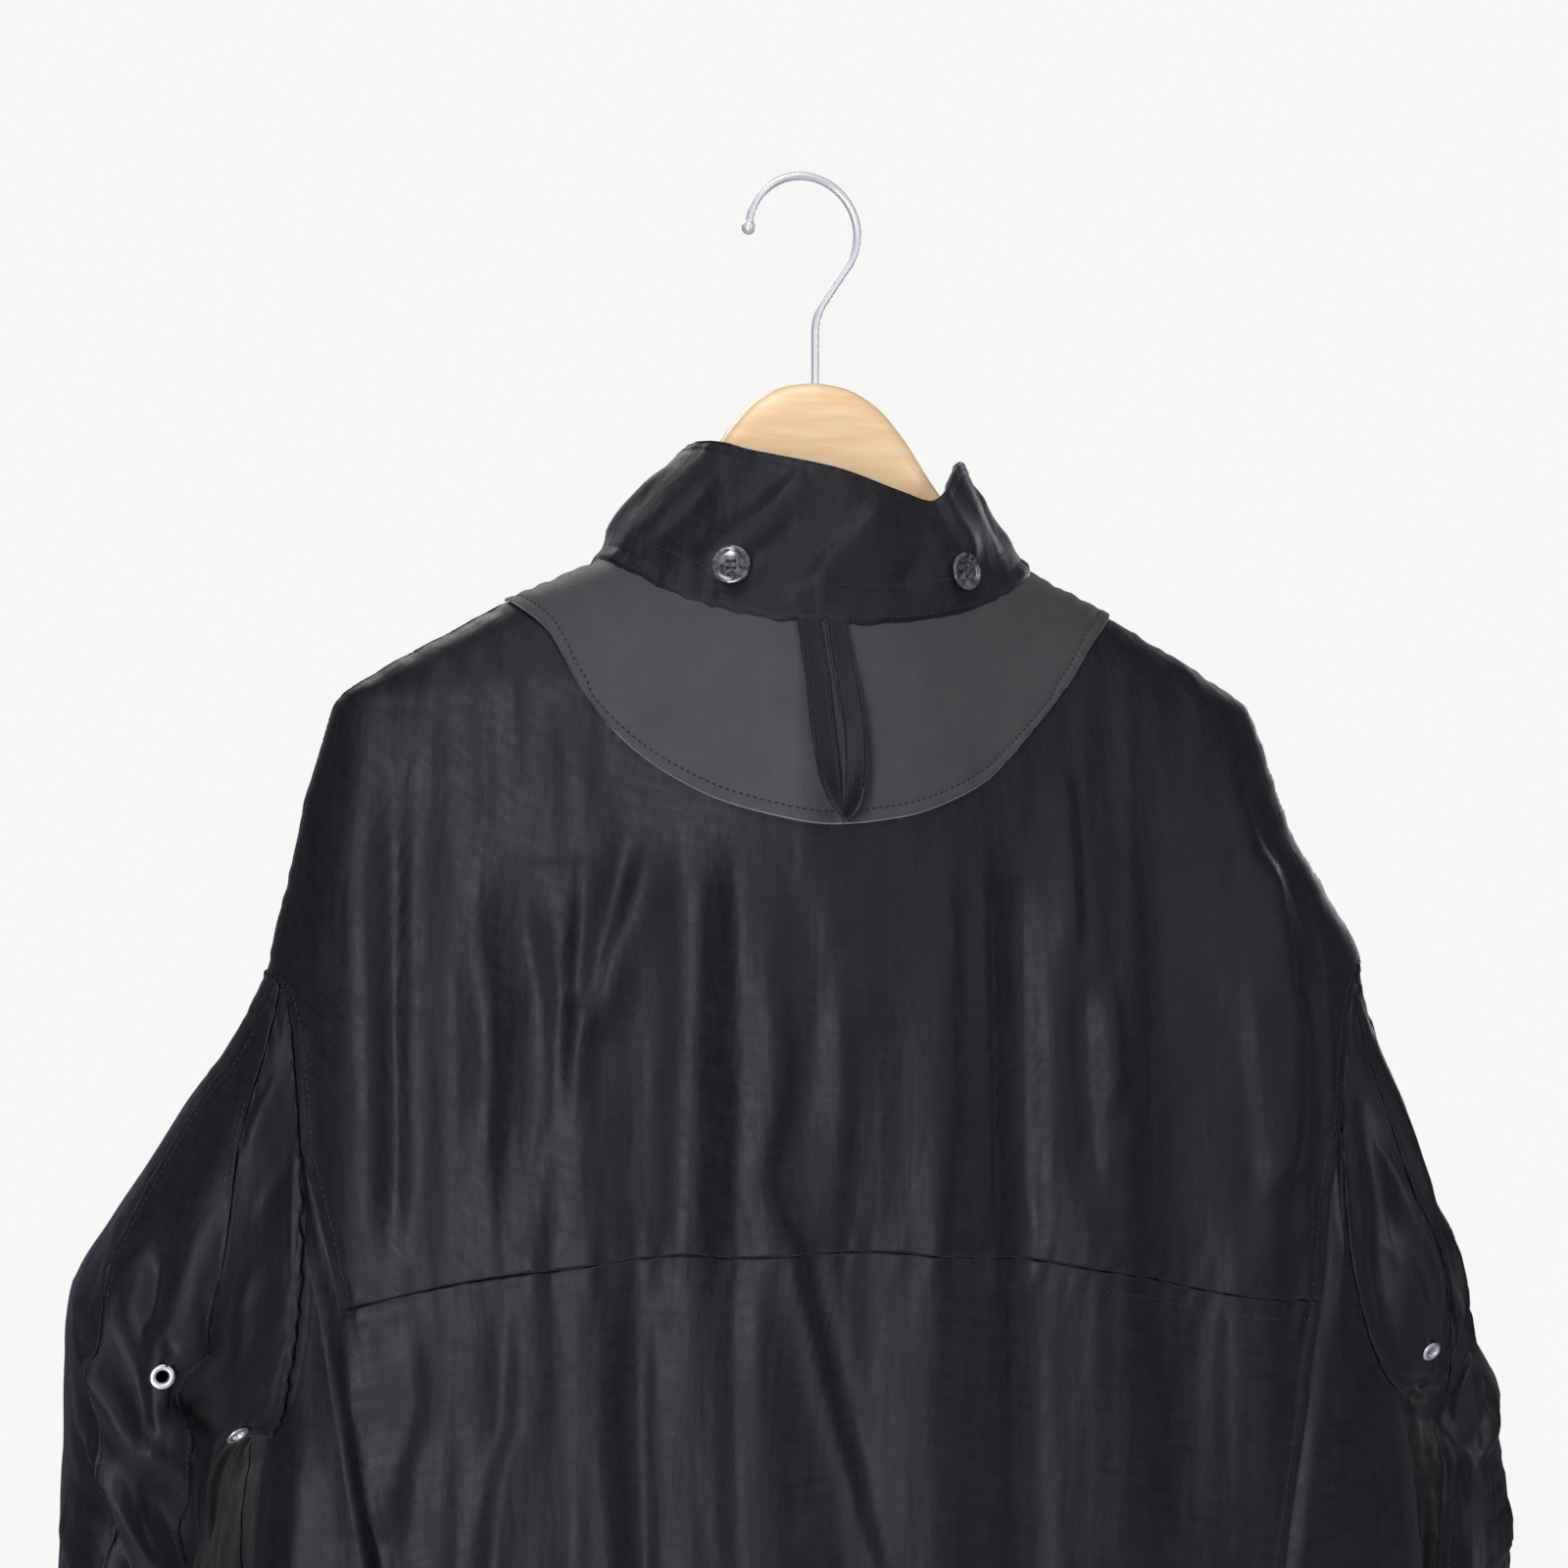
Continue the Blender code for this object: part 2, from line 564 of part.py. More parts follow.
def front_grid(sign):
    """(theta, z) of a front panel. Its first three columns lie under the placket."""
    border = np.concatenate([
        shoulder_border(sign, SHOULDER_Z[:-1]),
        armhole_border(sign, 360 - np.arange(0, 180, ARMHOLE_STEP)),
        shoulder_border(sign, SIDE_Z),
    ])
    border[:, 0] = np.where(border[:, 1] > UNDERARM_Z - 1, border[:, 0], sign * 90.0)
    v = evened(share_of(border, 1))
    columns = 10
    start = math.degrees(math.asin(PLACKET_HALF / half_width(sign, NECK_SIDE_Z)))
    neck = np.stack(neckline(sign * np.linspace(180 - start, 90, columns)), -1)
    strip = []
    for x in (0.0, PLACKET_HALF / 2, PLACKET_HALF):
        at_neck = neckline(sign * (180 - math.degrees(math.asin(x / half_width(sign, NECK_SIDE_Z)))))[1]
        z = at_neck + (HEM_Z - at_neck) * v
        strip.append(np.stack([theta_at(sign * max(x, 1e-6), z, True), z], -1))
    hem_theta = np.linspace(strip[-1][-1, 0], sign * 90.0, columns)
    hem = np.stack([hem_theta, np.full(columns, HEM_Z)], -1)
    rest = grid_between(neck, hem, strip[-1], border)
    return np.concatenate([np.stack(strip[:-1], 1), rest], 1)


def on_body(grid):
    """The points and normals of a (theta, z) grid."""
    theta, z = grid[..., 0], grid[..., 1]
    return body(theta, z), body_normals(theta, z)


def make_body():
    points, out = on_body(back_yoke_grid())
    points = pulled_in(points, out)
    wall("back_yoke", points, out, CLOTH, "shell cloth")
    patch = slice(0, LEATHER_ROWS + 1)
    wall("leather_yoke", points[patch], out[patch], LEATHER, "leather", lift=LAY_GAP + LEATHER)
    points, out = on_body(back_lower_grid())
    wall("back_lower", pulled_in(points, out), out, CLOTH, "shell cloth")
    fronts = {}
    for side, sign in SIDES.items():
        theta, z, sink = back_side_grid(sign)
        out = body_normals(theta, z)
        points = body(theta, z) - out * sink[..., None]
        wall(f"back_side_{side}", pulled_in(points, out), out, CLOTH, "shell cloth")
        points, out = fronts[side] = on_body(front_grid(sign))
        wall(f"front_{side}", pulled_in(points, out), out, CLOTH, "shell cloth")
    points, out = (
        np.concatenate([fronts["left"][k][:, 2:0:-1], fronts["right"][k][:, :3]], 1) for k in (0, 1)
    )
    wall("front_placket", pulled_in(points, out), out, CLOTH, "shell cloth", lift=LAY_GAP + CLOTH)


def sleeve_value(side, name, s):
    table = SLEEVES[side]
    return monotone(np.linspace(0, 1, len(table)), table[:, SLEEVE_COLUMNS.index(name)], s)


def sleeve_ring(side, s, angle):
    outer, inner = (
        np.stack([sleeve_value(side, f"{end}_x", s), sleeve_value(side, "y", s), sleeve_value(side, f"{end}_z", s)], -1)
        for end in ("outer", "inner")
    )
    c, d = np.cos(np.radians(angle))[..., None], np.sin(np.radians(angle))[..., None]
    depth = sleeve_value(side, "depth", s)[..., None]
    return (outer + inner) / 2 + (outer - inner) / 2 * c + depth * d * np.array([0.0, 1.0, 0.0])


def armhole_seam(side, angle):
    """Points and normals of the armhole seam, as straight runs between the points that the panels share."""
    known = np.arange(0, 361, ARMHOLE_STEP)
    points, out = on_body(np.stack(armhole(SIDES[side], known), -1))
    at = np.mod(angle, 360)
    return [np.stack([np.interp(at, known, values[:, k]) for k in range(3)], -1) for values in (points, out)]


def smooth_sleeve(side, s, angle):
    """The sleeve without its folds, s from the armhole to the cuff, angle from its outer line to the back."""
    s = np.clip(s, 0, 1)
    points = sleeve_ring(side, s, angle)
    share = np.exp(-(((np.mod(angle, 360) - SWING_ANGLE) / SWING_WIDTH) ** 2))
    points[..., 0] += column(SWING[side], SWING_COLUMNS, "x", s) * share
    points[..., 1] += column(SWING[side], SWING_COLUMNS, "y", s) * share
    start = armhole_seam(side, angle)[0] - sleeve_ring(side, np.zeros_like(s), angle)
    hold = np.clip(1 - s / ARMHOLE_BLEND, 0, 1)[..., None]
    return points + start * hold * hold * (3 - 2 * hold)


def sleeve(side, s, angle):
    """Outer face of a sleeve."""
    s, angle = np.broadcast_arrays(np.clip(s, 0, 1).astype(float), np.asarray(angle, float))
    fold = np.zeros(s.shape)
    for s0, a0, s1, a1, s_width, a_width, height in SLEEVE_FOLDS[side]:
        run = np.clip((s - s0) / (s1 - s0), 0, 1)
        away = np.mod(angle - (a0 + (a1 - a0) * run) + 180, 360) - 180
        beyond = np.where(s < s0, s0 - s, np.where(s > s1, s - s1, 0))
        fold += height * np.exp(-((away / a_width) ** 2) - (beyond / s_width) ** 2)
    fold *= np.clip(s / 0.1, 0, 1) * np.clip((1 - s) / 0.08, 0, 1)
    out = normals(lambda a, b: smooth_sleeve(side, a, b), s, angle, 0.012, 2.0, SIDES[side])
    return smooth_sleeve(side, s, angle) + out * fold[..., None]


def sleeve_normals(side, s, angle):
    return normals(lambda a, b: sleeve(side, a, b), s, angle, 0.012, 2.0, SIDES[side])


def sleeve_panel(side, s, angle):
    """Points and normals of a sleeve panel, whose first ring stays one seam gap inside the armhole."""
    s, angle = np.broadcast_arrays(s, angle)
    points, out = sleeve(side, s, angle), sleeve_normals(side, s, angle)
    seam, seam_out = armhole_seam(side, angle[0])
    inward = armhole_seam(side, np.arange(0, 360, ARMHOLE_STEP))[0].mean(0) - seam
    inward -= seam_out * np.sum(inward * seam_out, -1, keepdims=True)
    smooth = points[1, [0, -1]].copy()
    points = pulled_in(points, out)
    points[0] = seam + inward / np.linalg.norm(inward, axis=-1, keepdims=True) * SEAM_GAP
    points[0, [0, -1]] += points[1, [0, -1]] - smooth
    out[0] += 0.5 * seam_out
    out[0] /= np.linalg.norm(out[0], axis=-1, keepdims=True)
    return points, out


def make_sleeve(side):
    s = np.linspace(0, 1, SLEEVE_ROWS)[:, None] ** 1.15
    outer_seam = column(SLEEVE_SEAMS, SEAM_COLUMNS, "outer_seam", s)
    back_seam = column(SLEEVE_SEAMS, SEAM_COLUMNS, "back_seam", s)
    spans = {
        "outer": (np.full_like(s, UNDERARM_SEAM - 360), outer_seam, 12),
        "back": (outer_seam, back_seam, 6),
        "under": (back_seam, np.full_like(s, UNDERARM_SEAM), 10),
    }
    for name, (first, last, count) in spans.items():
        angle = first + (last - first) * np.linspace(0, 1, count)[None, :]
        wall(f"sleeve_{name}_{side}", *sleeve_panel(side, s, angle), CLOTH, "shell cloth")
    edge = sleeve(side, np.ones((1, CUFF_SIDES)), np.arange(CUFF_SIDES)[None, :] * 360 / CUFF_SIDES)
    out = edge - edge.mean(1, keepdims=True)
    out[..., 2] = 0
    out /= np.linalg.norm(out, axis=-1, keepdims=True)
    grid = edge - np.array([0.0, 0.0, 1.0]) * np.array([SEAM_GAP, CUFF_LENGTH])[:, None, None]
    wall(
        f"cuff_{side}", grid, np.broadcast_to(out, grid.shape), CLOTH + CUFF_LIFT, "shell cloth", CUFF_LIFT, True
    )


def collar(angle, rise):
    """Outer face of the collar, rise from 0 at the neck seam to 1 at its top edge."""
    angle, rise = np.broadcast_arrays(np.asarray(angle, float), np.asarray(rise, float))
    theta, z = neckline(angle)
    base = body(theta, z) + body_normals(theta, z) * (LAY_GAP + LEATHER)
    share = column(COLLAR, COLLAR_COLUMNS, "share", angle)
    top = np.stack([
        HANGER_X + (base[..., 0] - HANGER_X) * share,
        base[..., 1] * share,
        column(COLLAR, COLLAR_COLUMNS, "top_z", angle),
    ], -1)
    out = base - np.array([HANGER_X, 0, 0])
    out[..., 2] = 0
    out /= np.linalg.norm(out, axis=-1, keepdims=True)
    bulge = column(COLLAR, COLLAR_COLUMNS, "bulge", angle) * np.sin(np.pi * np.clip(rise, 0, 1)) ** 1.2
    return base + (top - base) * rise[..., None] + out * bulge[..., None]


def collar_normals(angle, rise):
    return normals(collar, angle, rise, 2.0, 0.04, -1.0)


def make_collar():
    around = np.linspace(-180, 180, 45)
    rise = np.array([0, 0.14, 0.34, 0.56, 0.8, 1.0])[:, None]
    angle = np.broadcast_to(around[None, :], (len(rise), len(around))).copy()
    angle[:, 0] += 0.4
    angle[:, -1] -= 0.4
    rise = np.broadcast_to(rise, angle.shape)
    grid, out = collar(angle, rise), collar_normals(angle, rise)
    grid[0] += (grid[1] - grid[0]) / np.linalg.norm(grid[1] - grid[0], axis=-1, keepdims=True) * SEAM_GAP * 2.5
    wall("collar", grid, out, COLLAR_CLOTH, "collar cloth")


def turned(place, out, profile, around):
    """Rings of a turned shape: profile is (radius, height) rows, out its axis."""
    out = out / np.linalg.norm(out)
    side = np.cross(out, [0.0, 0.0, 1.0])
    side /= np.linalg.norm(side)
    up = np.cross(side, out)
    turn = np.radians(np.arange(around) * 360 / around)
    ring = np.cos(turn)[:, None] * side + np.sin(turn)[:, None] * up
    return [place + out * height + ring * radius for radius, height in profile]


def make_button(name, place, out):
    """A dished button with a raised rim, standing on the cloth."""
    profile = (
        (BUTTON_RADIUS * 0.55, 0.0), (BUTTON_RADIUS * 0.9, BUTTON_THICK * 0.35), (BUTTON_RADIUS, BUTTON_THICK * 0.7),
        (BUTTON_RADIUS - 0.5, BUTTON_THICK), (BUTTON_RADIUS - BUTTON_RIM, BUTTON_THICK),
        (BUTTON_RADIUS - BUTTON_RIM - 1.2, BUTTON_THICK - 0.8),
    )
    tube(name, turned(place, out, profile, 14), "button horn")


def make_eyelet(name, cloth, place, out):
    """A pressed metal ring on the cloth, with a barrel that goes through a hole cut in it."""
    bottom = -CLOTH - 1.8
    profile = np.array([
        (EYELET_HOLE, bottom), (EYELET_BARREL, bottom), (EYELET_BARREL, EYELET_LIFT), (EYELET_RADIUS, EYELET_LIFT),
        (EYELET_RADIUS - 0.2, EYELET_LIFT + 0.6), ((EYELET_RADIUS + EYELET_HOLE) / 2, EYELET_LIFT + 1.0),
        (EYELET_HOLE, EYELET_LIFT + 0.6),
    ])
    around = 12
    points = np.concatenate(turned(place, out, profile, around))
    faces = []
    for i in range(len(profile)):
        k = (i + 1) % len(profile) * around
        for j in range(around):
            a, b = i * around + j, i * around + (j + 1) % around
            faces.append((a, b, k + (j + 1) % around, k + j))
    a, b, c = (points[k] for k in faces[around][:3])
    if np.dot(np.cross(b - a, c - a), a - place) < 0:
        faces = [tuple(reversed(f)) for f in faces]
    add_object(name, points, faces, "eyelet metal")
    bore = turned(place, out, ((CLOTH_HOLE, -4.0), (CLOTH_HOLE, 4.0)), around)
    cutter = tube(f"{name}_cutter", bore, "eyelet metal")
    cutter.hide_render = True
    cutter.display_type = "WIRE"
    hole = bpy.data.objects[cloth].modifiers.new(f"{name}_hole", "BOOLEAN")
    hole.operation = "DIFFERENCE"
    hole.solver = "EXACT"
    hole.object = cutter


def seat(name, point, radius):
    """Where a flat ring of a radius rests on an object's mesh near a point, and the way that it faces."""
    mesh = bpy.data.objects[name].data
    tree = BVHTree.FromPolygons([v.co / MM for v in mesh.vertices], [tuple(p.vertices) for p in mesh.polygons])
    place, facing, _, _ = tree.find_nearest(point)
    place, facing = np.array(place), np.array(facing)
    out = facing
    for _ in range(3):
        rim = turned(place, out, ((radius * 0.3, 0.0), (radius * 0.65, 0.0), (radius, 0.0)), 12)
        touched = np.array([tree.find_nearest(p)[0] for p in np.concatenate(rim)])
        out = np.linalg.svd(touched - touched.mean(0))[2][2]
        out = out * np.sign(np.dot(out, facing))
    return place + out * max(0.0, float(np.max((touched - place) @ out))), out


def make_fastenings():
    for side, (angle, rise) in COLLAR_BUTTONS.items():
        at = np.array([float(angle)]), np.array([rise])
        out = collar_normals(*at)[0]
        make_button(f"collar_button_{side}", collar(*at)[0] + out * 0.6, out)
    for number, z in enumerate(FRONT_BUTTON_Z, 1):
        theta = np.array([180.0])
        out = body_normals(theta, np.array([float(z)]))[0]
        place = body(theta, np.array([float(z)]))[0] + out * (LAY_GAP + CLOTH + 0.6)
        make_button(f"front_button_{number}", place, out)
    for side, places in EYELETS.items():
        for number, (panel, s, angle) in enumerate(places, 1):
            cloth = f"sleeve_{panel}_{side}"
            place, out = seat(cloth, sleeve(side, np.array([s]), np.array([float(angle)]))[0], EYELET_RADIUS)
            make_eyelet(f"eyelet_{side}_{number}", cloth, place, out)


def make_hanger_loop():
    """A folded tape sewn in under the collar, hanging down the leather and turning over at its lower end."""
    steps = np.linspace(0, len(LOOP) - 1, 31)
    known = np.arange(len(LOOP))
    x, z, off, turn = (monotone(known, LOOP[:, k], steps) for k in range(4))
    theta = theta_at(x, z)
    out = body_normals(theta, z)
    middle = body(theta, z) + out * (LAY_GAP + LEATHER + 1.0 + off)[:, None]
    run = np.gradient(middle, axis=0)
    run /= np.linalg.norm(run, axis=-1, keepdims=True)
    lean = np.radians(turn)
    flat = np.array([1.0, 0, 0]) * np.cos(lean)[:, None] + out * np.sin(lean)[:, None] * 0.75
    flat -= run * np.sum(flat * run, -1, keepdims=True)
    flat /= np.linalg.norm(flat, axis=-1, keepdims=True)
    thick = np.cross(run, flat)
    half = TAPE_WIDTH / 2
    rings = [
        np.array([m + f * half + t, m + f * half - t, m - f * half - t, m - f * half + t])
        for m, f, t in zip(middle, flat, thick * TAPE_THICK / 2)
    ]
    tube("hanger_loop", rings, "collar cloth")


def make_hanger():
    """Wooden hanger: a humped middle and two arms inside the shoulders."""
    offsets = HANGER[:, 0]
    stations = np.unique(np.concatenate([-offsets, offsets]))
    turn = np.radians(np.arange(14) * 360 / 14)
    rings = []
    for offset in stations:
        top = monotone(offsets, HANGER[:, 1], abs(offset))
        bottom = monotone(offsets, HANGER[:, 2], abs(offset))
        depth = monotone(offsets, HANGER[:, 3], abs(offset))
        c, d = np.cos(turn), np.sin(turn)
        y = depth * np.sign(c) * np.abs(c) ** 0.8
        z = (top + bottom) / 2 + (top - bottom) / 2 * np.sign(d) * np.abs(d) ** 0.8
        rings.append(np.stack([np.full(14, HANGER_X + offset), y, z], -1))
    tube("hanger_wood", rings, "beech")
    bend = np.radians(np.linspace(8, 215, 17))
    centre_z = WIRE - HOOK_RADIUS
    path = [(HOOK_RADIUS * np.cos(b), centre_z + HOOK_RADIUS * np.sin(b)) for b in bend]
    corner = np.array([HANGER_X, HOOK_BEND_Z])
    last = np.array(path[-1])
    for share in (0.35, 0.7):
        path.append(tuple(last + (corner - last) * share))
    before, after = np.array(path[-1]), corner + np.array([0, -8.0])
    for share in (0.25, 0.5, 0.75, 1.0):
        path.append(tuple((1 - share) ** 2 * before + 2 * share * (1 - share) * corner + share**2 * after))
    path.append((HANGER_X, HANGER[0, 1] - 0.4))
    path = np.array(path)
    start = path[0]
    back = (path[0] - path[1]) / np.linalg.norm(path[0] - path[1])
    ball = [
        (back * HOOK_BALL * (1 + np.cos(a)) + start, HOOK_BALL * np.sin(a)) for a in np.radians((18, 50, 80, 110, 138))
    ]
    points = np.array([p for p, _ in ball] + list(path))
    radii = np.array([r for _, r in ball] + [WIRE] * len(path))
    run = np.gradient(points, axis=0)
    run /= np.linalg.norm(run, axis=-1, keepdims=True)
    run[-1] = (0, -1)
    turn = np.radians(np.arange(8) * 45)
    rings = []
    for (px, pz), (rx, rz), radius in zip(points, run, radii):
        side, level = np.array([-rz, 0, rx]), np.array([0, 1.0, 0])
        ring = np.cos(turn)[:, None] * side + np.sin(turn)[:, None] * level
        rings.append(np.array([px, 0, pz]) + radius * ring)
    tube("hanger_hook", rings, "chrome")


def main():
    for old in list(bpy.data.objects):
        bpy.data.objects.remove(old)
    make_hanger()
    make_body()
    for side in SIDES:
        make_sleeve(side)
    make_collar()
    make_hanger_loop()
    make_fastenings()


main()
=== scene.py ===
import math

import bpy
import numpy as np
from mathutils import Matrix, Vector


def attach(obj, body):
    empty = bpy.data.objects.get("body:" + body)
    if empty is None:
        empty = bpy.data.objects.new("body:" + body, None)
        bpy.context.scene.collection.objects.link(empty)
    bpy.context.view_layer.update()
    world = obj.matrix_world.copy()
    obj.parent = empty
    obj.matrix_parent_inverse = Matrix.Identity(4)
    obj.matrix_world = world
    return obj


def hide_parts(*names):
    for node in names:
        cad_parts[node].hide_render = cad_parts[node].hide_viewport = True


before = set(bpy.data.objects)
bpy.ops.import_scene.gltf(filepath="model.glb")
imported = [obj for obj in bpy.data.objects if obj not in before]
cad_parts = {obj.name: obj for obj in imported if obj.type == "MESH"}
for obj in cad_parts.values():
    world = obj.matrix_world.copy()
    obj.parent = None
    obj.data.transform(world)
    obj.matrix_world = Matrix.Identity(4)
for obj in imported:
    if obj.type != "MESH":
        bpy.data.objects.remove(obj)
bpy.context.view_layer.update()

# Studio: a pale room with a large soft light on the left of the view, weaker ones low on the left, on the
# right and overhead, and three more for the jacket's front. The floor is a pale disc under the hem.
VIEW_PLACE = (0.28103, 1.01174, -0.29568)
VIEW_TURN = 165.0
VIEW_LENS = 49.22
TONES = "Standard"
FLOOR_Z = -1.02
FLOOR_RADIUS = 0.85
FLOOR_PAINT = (0.83, 0.825, 0.815)
SKY = (0.93, 0.93, 0.94)
SKY_STRENGTH = 0.03
BACKDROP = (0.93, 0.925, 0.91)

camera = bpy.data.objects.new("camera", bpy.data.cameras.new("camera"))
camera.data.sensor_width = 36
camera.data.lens = VIEW_LENS
camera.location = VIEW_PLACE
camera.rotation_euler = (math.radians(90), 0, math.radians(VIEW_TURN))
bpy.context.scene.collection.objects.link(camera)
bpy.context.scene.camera = camera
bpy.context.scene.view_settings.view_transform = TONES

LIGHTS = (
    # name, place, watts, width, height, colour, shown in reflections
    ("left window", (0.85, 1.65, -0.30), 19.6, 0.35, 0.9, (0.92, 0.91, 1.0), True),
    ("low left", (0.75, 1.10, -0.92), 4.6, 0.4, 0.3, (0.86, 0.89, 1.0), True),
    ("back right", (-0.95, 1.55, 0.15), 5.8, 0.4, 0.9, (1.0, 0.96, 1.0), True),
    ("overhead", (0.1, 0.75, 1.1), 10.0, 0.8, 0.6, (1.0, 0.96, 1.0), True),
    ("front right", (-1.50, -1.10, 0.00), 9.0, 0.5, 1.0, (0.95, 0.97, 1.0), True),
    ("front top", (0.45, -1.35, 1.05), 12.0, 0.8, 0.5, (1.0, 0.99, 0.97), True),
    ("front fill", (-0.1, -1.7, -0.3), 22.0, 1.4, 1.2, (1.0, 0.99, 0.97), False),
)
MIDDLE = Vector((0, 0, -0.45))
for name, place, power, width, height, tint, mirrored in LIGHTS:
    data = bpy.data.lights.new(name, "AREA")
    data.shape = "RECTANGLE"
    data.size, data.size_y = width, height
    data.energy = power
    data.color = tint
    light = bpy.data.objects.new(name, data)
    light.location = place
    light.visible_glossy = mirrored
    light.rotation_euler = (MIDDLE - light.location).to_track_quat("-Z", "Y").to_euler()
    bpy.context.scene.collection.objects.link(light)

world = bpy.data.worlds.new("pale room")
world.use_nodes = True
bpy.context.scene.world = world
sky = world.node_tree.nodes["Background"]
sky.inputs["Color"].default_value = (*SKY, 1)
sky.inputs["Strength"].default_value = SKY_STRENGTH
backdrop = world.node_tree.nodes.new("ShaderNodeBackground")
backdrop.inputs["Color"].default_value = (*BACKDROP, 1)
seen = world.node_tree.nodes.new("ShaderNodeLightPath")
sky_or_backdrop = world.node_tree.nodes.new("ShaderNodeMixShader")
world_out = world.node_tree.nodes["World Output"]
world.node_tree.links.new(seen.outputs["Is Camera Ray"], sky_or_backdrop.inputs["Fac"])
world.node_tree.links.new(sky.outputs[0], sky_or_backdrop.inputs[1])
world.node_tree.links.new(backdrop.outputs[0], sky_or_backdrop.inputs[2])
world.node_tree.links.new(sky_or_backdrop.outputs[0], world_out.inputs["Surface"])

floor_place = (0, 0, FLOOR_Z)
bpy.ops.mesh.primitive_circle_add(vertices=96, radius=FLOOR_RADIUS, fill_type="NGON", location=floor_place)
floor = bpy.context.object
floor.name = "floor"
floor_paint = bpy.data.materials.new("floor paint")
floor_paint.use_nodes = True
floor_paint.node_tree.nodes["Principled BSDF"].inputs["Base Color"].default_value = (*FLOOR_PAINT, 1)
floor_paint.node_tree.nodes["Principled BSDF"].inputs["Roughness"].default_value = 0.9
floor.data.materials.append(floor_paint)

# Back: an upper back, a lower back sewn under it, and two side panels that come out of the action pleats.
# Black waxy cotton, 1.5 mm with its lining, felled and topstitched along every seam. Its folds are the
# cloth's own.
MM = 0.001
CLOTH = 1.5
SEAM_GAP = 0.2
LAY_GAP = 0.5
LEATHER = 1.6
NECK_SIDE_Z = -190.0
NECK_BACK_DROP = 30.0
NECK_FRONT_DROP = 65.0
ARMHOLE_TOP_Z = -384.0
UNDERARM_Z = -598.0
HEM_Z = -960.0
HANGER_X = -6.0
NECK_REACH = 95.0
EDGE_ROUND = 2.2
BODY_COLUMNS = ("z", "left", "right", "twist", "back_mid", "back_side", "front_mid", "front_side", "square")
BODY = np.array([
    (-176, 78, 90, 0.0, 61, 25, 84, 25, 2.4),
    (-190, 101, 113, 0.0, 62, 27, 85, 27, 2.5),
    (-211, 146, 158, 0.0, 63, 29, 84, 29, 3.0),
    (-229, 180, 192, 0.0, 65, 31, 82, 31, 3.5),
    (-246, 209, 221, 0.0, 67, 32, 80, 32, 4.0),
    (-256, 223, 235, -0.5, 68, 33, 79, 33, 4.0),
    (-278, 231, 243, -1.5, 70, 36, 78, 36, 4.0),
    (-318, 241, 254, -3.0, 73, 42, 76, 42, 4.0),
    (-350, 248, 270, -4.5, 76, 48, 75, 47, 4.0),
    (-384, 256, 287, -5.5, 78, 53, 75, 52, 3.8),
    (-430, 264, 292, -6.5, 79, 58, 75, 56, 3.6),
    (-500, 268, 294, -7.5, 80, 62, 75, 60, 3.4),
    (-560, 264, 297, -8.3, 80, 64, 76, 62, 3.2),
    (-598, 258, 301, -8.8, 80, 65, 77, 63, 3.0),
    (-640, 263, 308, -9.0, 80, 66, 78, 64, 2.9),
    (-712, 268, 314, -9.0, 82, 67, 80, 66, 2.8),
    (-800, 274, 318, -9.0, 84, 70, 82, 68, 2.8),
    (-960, 282, 322, -9.0, 88, 74, 86, 72, 2.8),
])
# Long soft folds: x and z at the top, x and z at the bottom, half width, height
BACK_FOLDS = np.array([
    (196, -262, 214, -640, 20, 5.0),
    (160, -300, 150, -700, 24, -4.0),
    (128, -330, 112, -820, 22, 4.5),
    (78, -330, 66, -960, 22, -4.0),
    (38, -330, 20, -960, 18, 4.5),
    (-2, -400, -30, -960, 18, -4.5),
    (-44, -330, -70, -960, 18, 4.5),
    (-88, -340, -104, -900, 22, -4.0),
    (-128, -320, -140, -760, 22, 4.0),
    (-168, -300, -178, -700, 22, -4.5),
    (-222, -268, -214, -640, 17, 6.0),
])
FRONT_FOLDS = np.array([
    (198, -262, 190, -700, 20, 5.0),
    (150, -280, 160, -800, 24, -4.0),
    (104, -300, 124, -960, 22, 4.5),
    (62, -330, 84, -960, 20, -4.0),
    (-66, -330, -92, -960, 20, 4.5),
    (-112, -290, -138, -960, 22, -4.0),
    (-158, -280, -178, -800, 22, 4.5),
    (-214, -268, -206, -700, 18, 5.0),
])
LEATHER_EDGE = np.array([
    (146, -211), (131, -225), (118, -250), (97, -276), (69, -296), (43, -307), (3, -314.5),
    (-30, -311.5), (-71, -297), (-99, -273), (-123, -248), (-140, -227), (-158, -211),
])
YOKE_SEAM = np.array([
    (220, -536), (194, -529), (166, -523.5), (135, -518), (100, -513), (66, -511), (21, -508.5),
    (-24, -509), (-72, -514), (-120, -521), (-154, -528), (-178, -535), (-200, -539), (-245, -545),
])
PLEAT_COLUMNS = ("z", "left", "right")
PLEAT = np.array([
    (-463, 238, 261),
    (-491, 230, 254),
    (-536, 220, 248),
    (-565, 215, 241),
    (-600, 209, 235),
    (-652, 199, 226),
    (-720, 188, 215),
    (-960, 172, 196),
])
ARMHOLE_CUT = 0.11
PLEAT_TOP_ANGLE = 75.0
SIDES = {"left": 1.0, "right": -1.0}
CREASE_STRENGTH = 1.25
CREASE_POINTS = 36
CREASE_REACH = 4.5
CREASE_FADE = 0.28
STREAK_HEIGHTS = (4.6, 2.0, 0.5)
STREAK_WAVES = (66, 34, 16)

